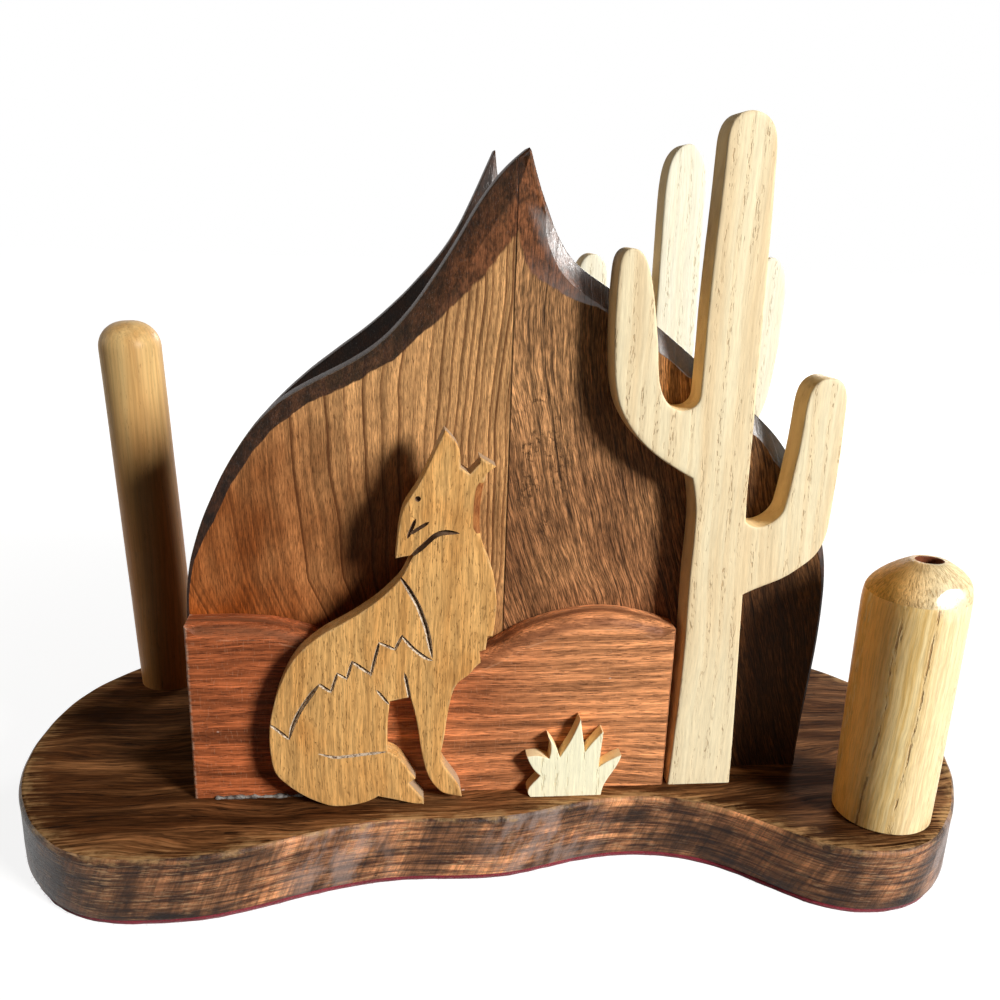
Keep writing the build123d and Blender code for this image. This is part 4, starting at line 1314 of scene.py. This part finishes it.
def build_hill():
    """The low hill, its crest shaped by hand and coloured darker."""
    low, high = span("hill_panel")
    front, back = low[1], high[1]
    loop = traced("hill_panel", 1, back - 2.0, 1.0, 0.15, 8, 9)
    x, z = loop.T
    ends = np.minimum(x - low[0], high[0] - x)
    crest = eased(z, deck + 30, deck + 36) * eased(ends, 0.2, 3.0)
    wide = 0.6 + crest * (3.6 + 0.8 * (sway(loop, 9, 12) - 0.5))
    deep = 0.6 + crest * 2.4
    skin = Skin()
    rings = [skin.upright(loop, back, 1.5, 0.4), skin.upright(loop, back - 0.4, 1.5)]
    for across, down in ((0.0, 1.0), (0.1, 0.66), (0.34, 0.32), (0.66, 0.1), (1.0, 0.0)):
        rings.append(skin.upright(loop, front + down * deep, across, across * wide))
    rings.append(skin.upright(loop, front, 1.4, wide + 1.2))
    skin.stack(rings)
    stands_for(skin.piece("hill_board", mahogany, sharp=30), "holder", "hill_mahogany", "hill_panel")


def neck_shave(loop):
    """Where the coyote's neck was shaved with a knife, and how wide."""
    low, high = span("coyote")
    across, up = ((loop - low[[0, 2]]) / (high - low)[[0, 2]]).T
    return 1.3 * eased(across, 0.86, 0.9) * eased(up, 0.735, 0.765) * (1 - eased(up, 0.855, 0.89))


build_base()
build_felt()
build_panel("front_mountain", 1, ("front_panel_left_board", "front_panel_right_board"),
            front_glue_line, (left_cherry, right_cherry), False)
build_panel("rear_mountain", 51, ("rear_panel_left_board", "rear_panel_right_board"),
            rear_glue_line, (rear_left_cherry, rear_right_cherry), True)
build_hill()
coyote = build_cutout("carved_coyote", "coyote", tan, "coyote_tan", 0.35, 4, step=0.7, rim=0.5,
                      shave=neck_shave)
carve_coyote(coyote, (tan, tan_cut))
build_cutout("front_saguaro", "front_cactus", front_ash, "pale_ash", 0.6, 14)
build_cutout("rear_saguaro", "rear_cactus", rear_ash, "pale_ash", 0.6, 24, back_arris=0.6)
build_cutout("agave_cutout", "agave_bush", pine, "agave_pine", 0.25, 34, back_arris=0.15, step=0.5, rim=0.2)

# The leaning peg. Its ends close on a small ring and not in a point.
peg_radius, peg_top, peg_seat, peg_lean, dome = 9.75, deck + 126.5, 6, 2.5, 8.385
end_ring = 0.2
peg_foot = deck - peg_seat
peg_profile = divided([(end_ring, peg_foot), (peg_radius, peg_foot), (peg_radius, peg_top - dome)], 5.0)
peg_profile += [(peg_radius - dome * (1 - math.cos(a)), peg_top - dome * (1 - math.sin(a)))
                for a in np.linspace(0, math.pi / 2, 13)[1:]] + [(end_ring, peg_top)]


def peg_shape(radius, height, angle):
    """The peg is never quite round or straight."""
    wander = noise.noise(Vector((math.cos(angle) * 0.8, math.sin(angle) * 0.8, height / 22)))
    return radius * (1 - 0.006 * (1 + wander))


peg = build_turned("turned_peg", peg_profile, peg_spot, peg_shape, 96, (maple,), lean=peg_lean)
stands_for(peg, "holder", "peg_maple", "ring_peg")

# The cup over its pin, from the pin's hole round to the bottom of the toothpick hole
cup_foot, cup_shoulder, rim_radius, bore, bore_shift, bore_depth = 13.85, 14.3, 5.3, 3.5, 2.1, 52
cup_top, shoulder = deck + 77.5, deck + 69.1
pin_hole, pin_hole_depth = 4.25, 9.0
on_side, on_cone, in_bore = 0, 1, 2
cup_profile = [(pin_hole, deck + pin_hole_depth), (pin_hole, deck),
               (cup_foot - 0.5, deck), (cup_foot - 0.1, deck + 0.4)]
cup_marks = [on_cone] * 3
for height in np.linspace(deck + 4, shoulder - 5, 14):
    cup_profile.append((cup_shoulder, height))
    cup_marks.append(on_side)
for height in np.linspace(shoulder - 4.4, cup_top - 0.2, 36):
    cup_profile.append((cup_shoulder, height))
    cup_marks.append(on_side if height < shoulder - 0.6 else on_cone)
cup_profile += [(rim_radius - 0.4, cup_top), (bore + 0.3, cup_top), (bore, cup_top - 0.4)]
cup_marks += [on_cone, on_cone, in_bore]
for height in np.linspace(cup_top - 4, cup_top - bore_depth, 8):
    cup_profile.append((bore, height))
    cup_marks.append(in_bore)
cup_marks.append(in_bore)

# Angles of the cup's rasped flats, and of the big one
facets = np.array([0.0, 0.71, 1.23, 1.9, 2.42, 3.02, 3.75, 4.3, 4.95, 5.6])
big_facet = math.radians(-78)


def moved(radius, shift, angle):
    """How far a circle reaches at an angle when its middle is moved to the right."""
    return shift * math.cos(angle) + math.sqrt(radius ** 2 - (shift * math.sin(angle)) ** 2)


def cup_shape(radius, height, angle):
    """Slightly flared sides under an off-centre cone that was rasped flat by flat."""
    if height < deck + 1 or radius == pin_hole:
        return radius
    if radius < cup_shoulder:
        return moved(radius, bore_shift, angle)
    side = cup_foot + (cup_shoulder - cup_foot) * (height - deck) / (shoulder - deck)
    side -= 0.03 * (1 + noise.noise(Vector((angle * 2, height / 20, 3))))
    start = shoulder + 1.5 * math.cos(angle)
    up = (height - start) / (cup_top - start)
    cone = cup_shoulder - (cup_shoulder - rim_radius + 0.3) * (0.3 * up + 0.7 * up * abs(up))
    away = np.abs((facets - angle + math.pi) % (2 * math.pi) - math.pi).min()
    cone = moved(cone, bore_shift * max(up, 0), angle) * (0.985 + 0.015 / math.cos(min(away, 0.36)))
    cone += 0.07 * noise.noise(Vector((math.cos(angle) * radius, math.sin(angle) * radius, height)) * 1.3)
    around = (angle - big_facet + math.pi) % (2 * math.pi) - math.pi
    if abs(around) < 1.0:
        cone = min(cone, (cup_shoulder - 0.9 - 0.44 * (height - start)) / math.cos(around))
    return (side + cone - math.hypot(side - cone, 1.0)) / 2


cup = build_turned("turned_cup", cup_profile, cup_spot, cup_shape, 144, (cup_ash, rasped, bored), cup_marks)
top_slant = 0.03
for vert in cup.data.vertices:
    up = (vert.co.z / mm - shoulder) / (cup_top - shoulder)
    vert.co.z -= top_slant * mm * max(up, 0) * max(vert.co.y / mm - cup_spot[1] + rim_radius, 0)
stands_for(cup, "cup", "cup_ash", "toothpick_cup")
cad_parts["cup_pin"].material_slots[0].material = maple

# Screws, up through the base into each panel, at shares of half its width
half_panel, screw_shares = 93.0, (-0.72, -0.28, 0.28, 0.72)
screws = screw_recipe(steel)
for name, node in (("front_screws", "front_panel_screws"), ("rear_screws", "rear_panel_screws")):
    low, high = span(node)
    spots = [(share * half_panel, (low[1] + high[1]) / 2, low[2]) for share in screw_shares]
    stands_for(screws.grow(points_object(name, spots)), "holder", "screw_steel", node)

# Glue squeezed out along the left of the hill's foot
left, front, _ = span("hill_panel")[0]
bead_start, bead_end, bead_step = 6, 42, 1.5
glue_path = [(x, front - 0.25, deck + 0.1) for x in np.arange(left + bead_start, left + bead_end, bead_step)]
bead = points_object("glue_bead", glue_path, [(i, i + 1) for i in range(len(glue_path) - 1)])
stands_for(glue_recipe(glue).grow(bead), "holder", "hill_mahogany")


# The floor, the lights and the camera

# How light the floor is for the light that it throws back, and where it is looked at
floor_bounce, floor_pale = 0.10, 0.30
# How light the surround is for what it lights, and where it is looked at
fill_level, white_level = 0.004, 1.0


def build_floor():
    """A plain pale floor that shows white and keeps a soft shadow."""
    f = Finish("pale_floor", roughness=0.9, specular_ior_level=0.0)
    seen = f.seen()
    f.feed(f.skin.inputs["Base Color"], f.step(seen, 0, 1, floor_bounce, floor_pale))
    far = f.add("ShaderNodeVectorMath", (f.place,), operation="LENGTH").outputs["Value"]
    glow = f.times(seen, f.step(far, 120, 750, 0.87, 1.0))
    white = f.add("ShaderNodeEmission", ((1, 1, 1), glow)).outputs[0]
    both = f.add("ShaderNodeAddShader", (f.skin.outputs[0], white)).outputs[0]
    f.feed(f.tree.nodes["Material Output"].inputs["Surface"], both)
    sheet = bmesh.new()
    bmesh.ops.create_grid(sheet, x_segments=1, y_segments=1, size=4)
    made_from("pale_floor", sheet, (f.material,))


def build_world():
    """A plain white surround that gives the object only a little fill."""
    world = bpy.data.worlds.new("studio")
    bpy.context.scene.world = world
    world.use_nodes = True
    wires = Wiring(world.node_tree)
    back = wires.tree.nodes["Background"]
    back.inputs["Color"].default_value = (1, 1, 1, 1)
    wires.feed(back.inputs["Strength"], wires.step(wires.seen(), 0, 1, fill_level, white_level))


# Lamps: angle right of the front, angle above the floor, size, power and colour
lamps = {"key_lamp": (44, 22, 0.36, 25, (1.0, 0.985, 0.96)),
         "fill_lamp": (-98, 16, 0.5, 3.0, (1.0, 0.9, 0.74)),
         "back_lamp": (150, 16, 0.4, 9, (1.0, 0.99, 0.97))}
lamp_aim, lamp_far = Vector((0, 0, 0.09)), 1.3


def build_lamp(name, side, height, size, power, colour):
    """A soft lamp that looks at the middle of the object."""
    data = bpy.data.lights.new(name, "AREA")
    data.shape, data.size, data.energy, data.color = "DISK", size, power, colour
    lamp = bpy.data.objects.new(name, data)
    side, height = math.radians(side), math.radians(height)
    away = Vector((math.sin(side) * math.cos(height), -math.cos(side) * math.cos(height), math.sin(height)))
    lamp.location = lamp_aim + away * lamp_far
    lamp.rotation_euler = away.to_track_quat("Z", "Y").to_euler()
    bpy.context.collection.objects.link(lamp)


# The camera's place in metres, its turn in degrees, its lens and its shift
camera_place = (-0.03543, -0.29285, 0.18291)
camera_turn = (6.731, 17.605, 1.974)
camera_sensor, camera_lens = 36, 35.978
camera_shift = (-0.00286, 0.03291)


def build_camera():
    """The camera where the photographer stood."""
    data = bpy.data.cameras.new("camera")
    data.sensor_width, data.lens = camera_sensor, camera_lens
    data.shift_x, data.shift_y = camera_shift
    data.clip_start = 0.01
    camera = bpy.data.objects.new("camera", data)
    yaw, pitch, roll = (math.radians(angle) for angle in camera_turn)
    ahead = Vector((math.sin(yaw) * math.cos(pitch), math.cos(yaw) * math.cos(pitch), -math.sin(pitch)))
    right = Vector((math.cos(yaw), -math.sin(yaw), 0))
    up = right.cross(ahead)
    tilted_right = right * math.cos(roll) + up * math.sin(roll)
    tilted_up = up * math.cos(roll) - right * math.sin(roll)
    turn = Matrix((tilted_right, tilted_up, -ahead)).transposed().to_4x4()
    camera.matrix_world = Matrix.Translation(camera_place) @ turn
    bpy.context.collection.objects.link(camera)
    bpy.context.scene.camera = camera


build_floor()
build_world()
for name, settings in lamps.items():
    build_lamp(name, *settings)
build_camera()
bpy.context.scene.view_settings.view_transform = "Standard"
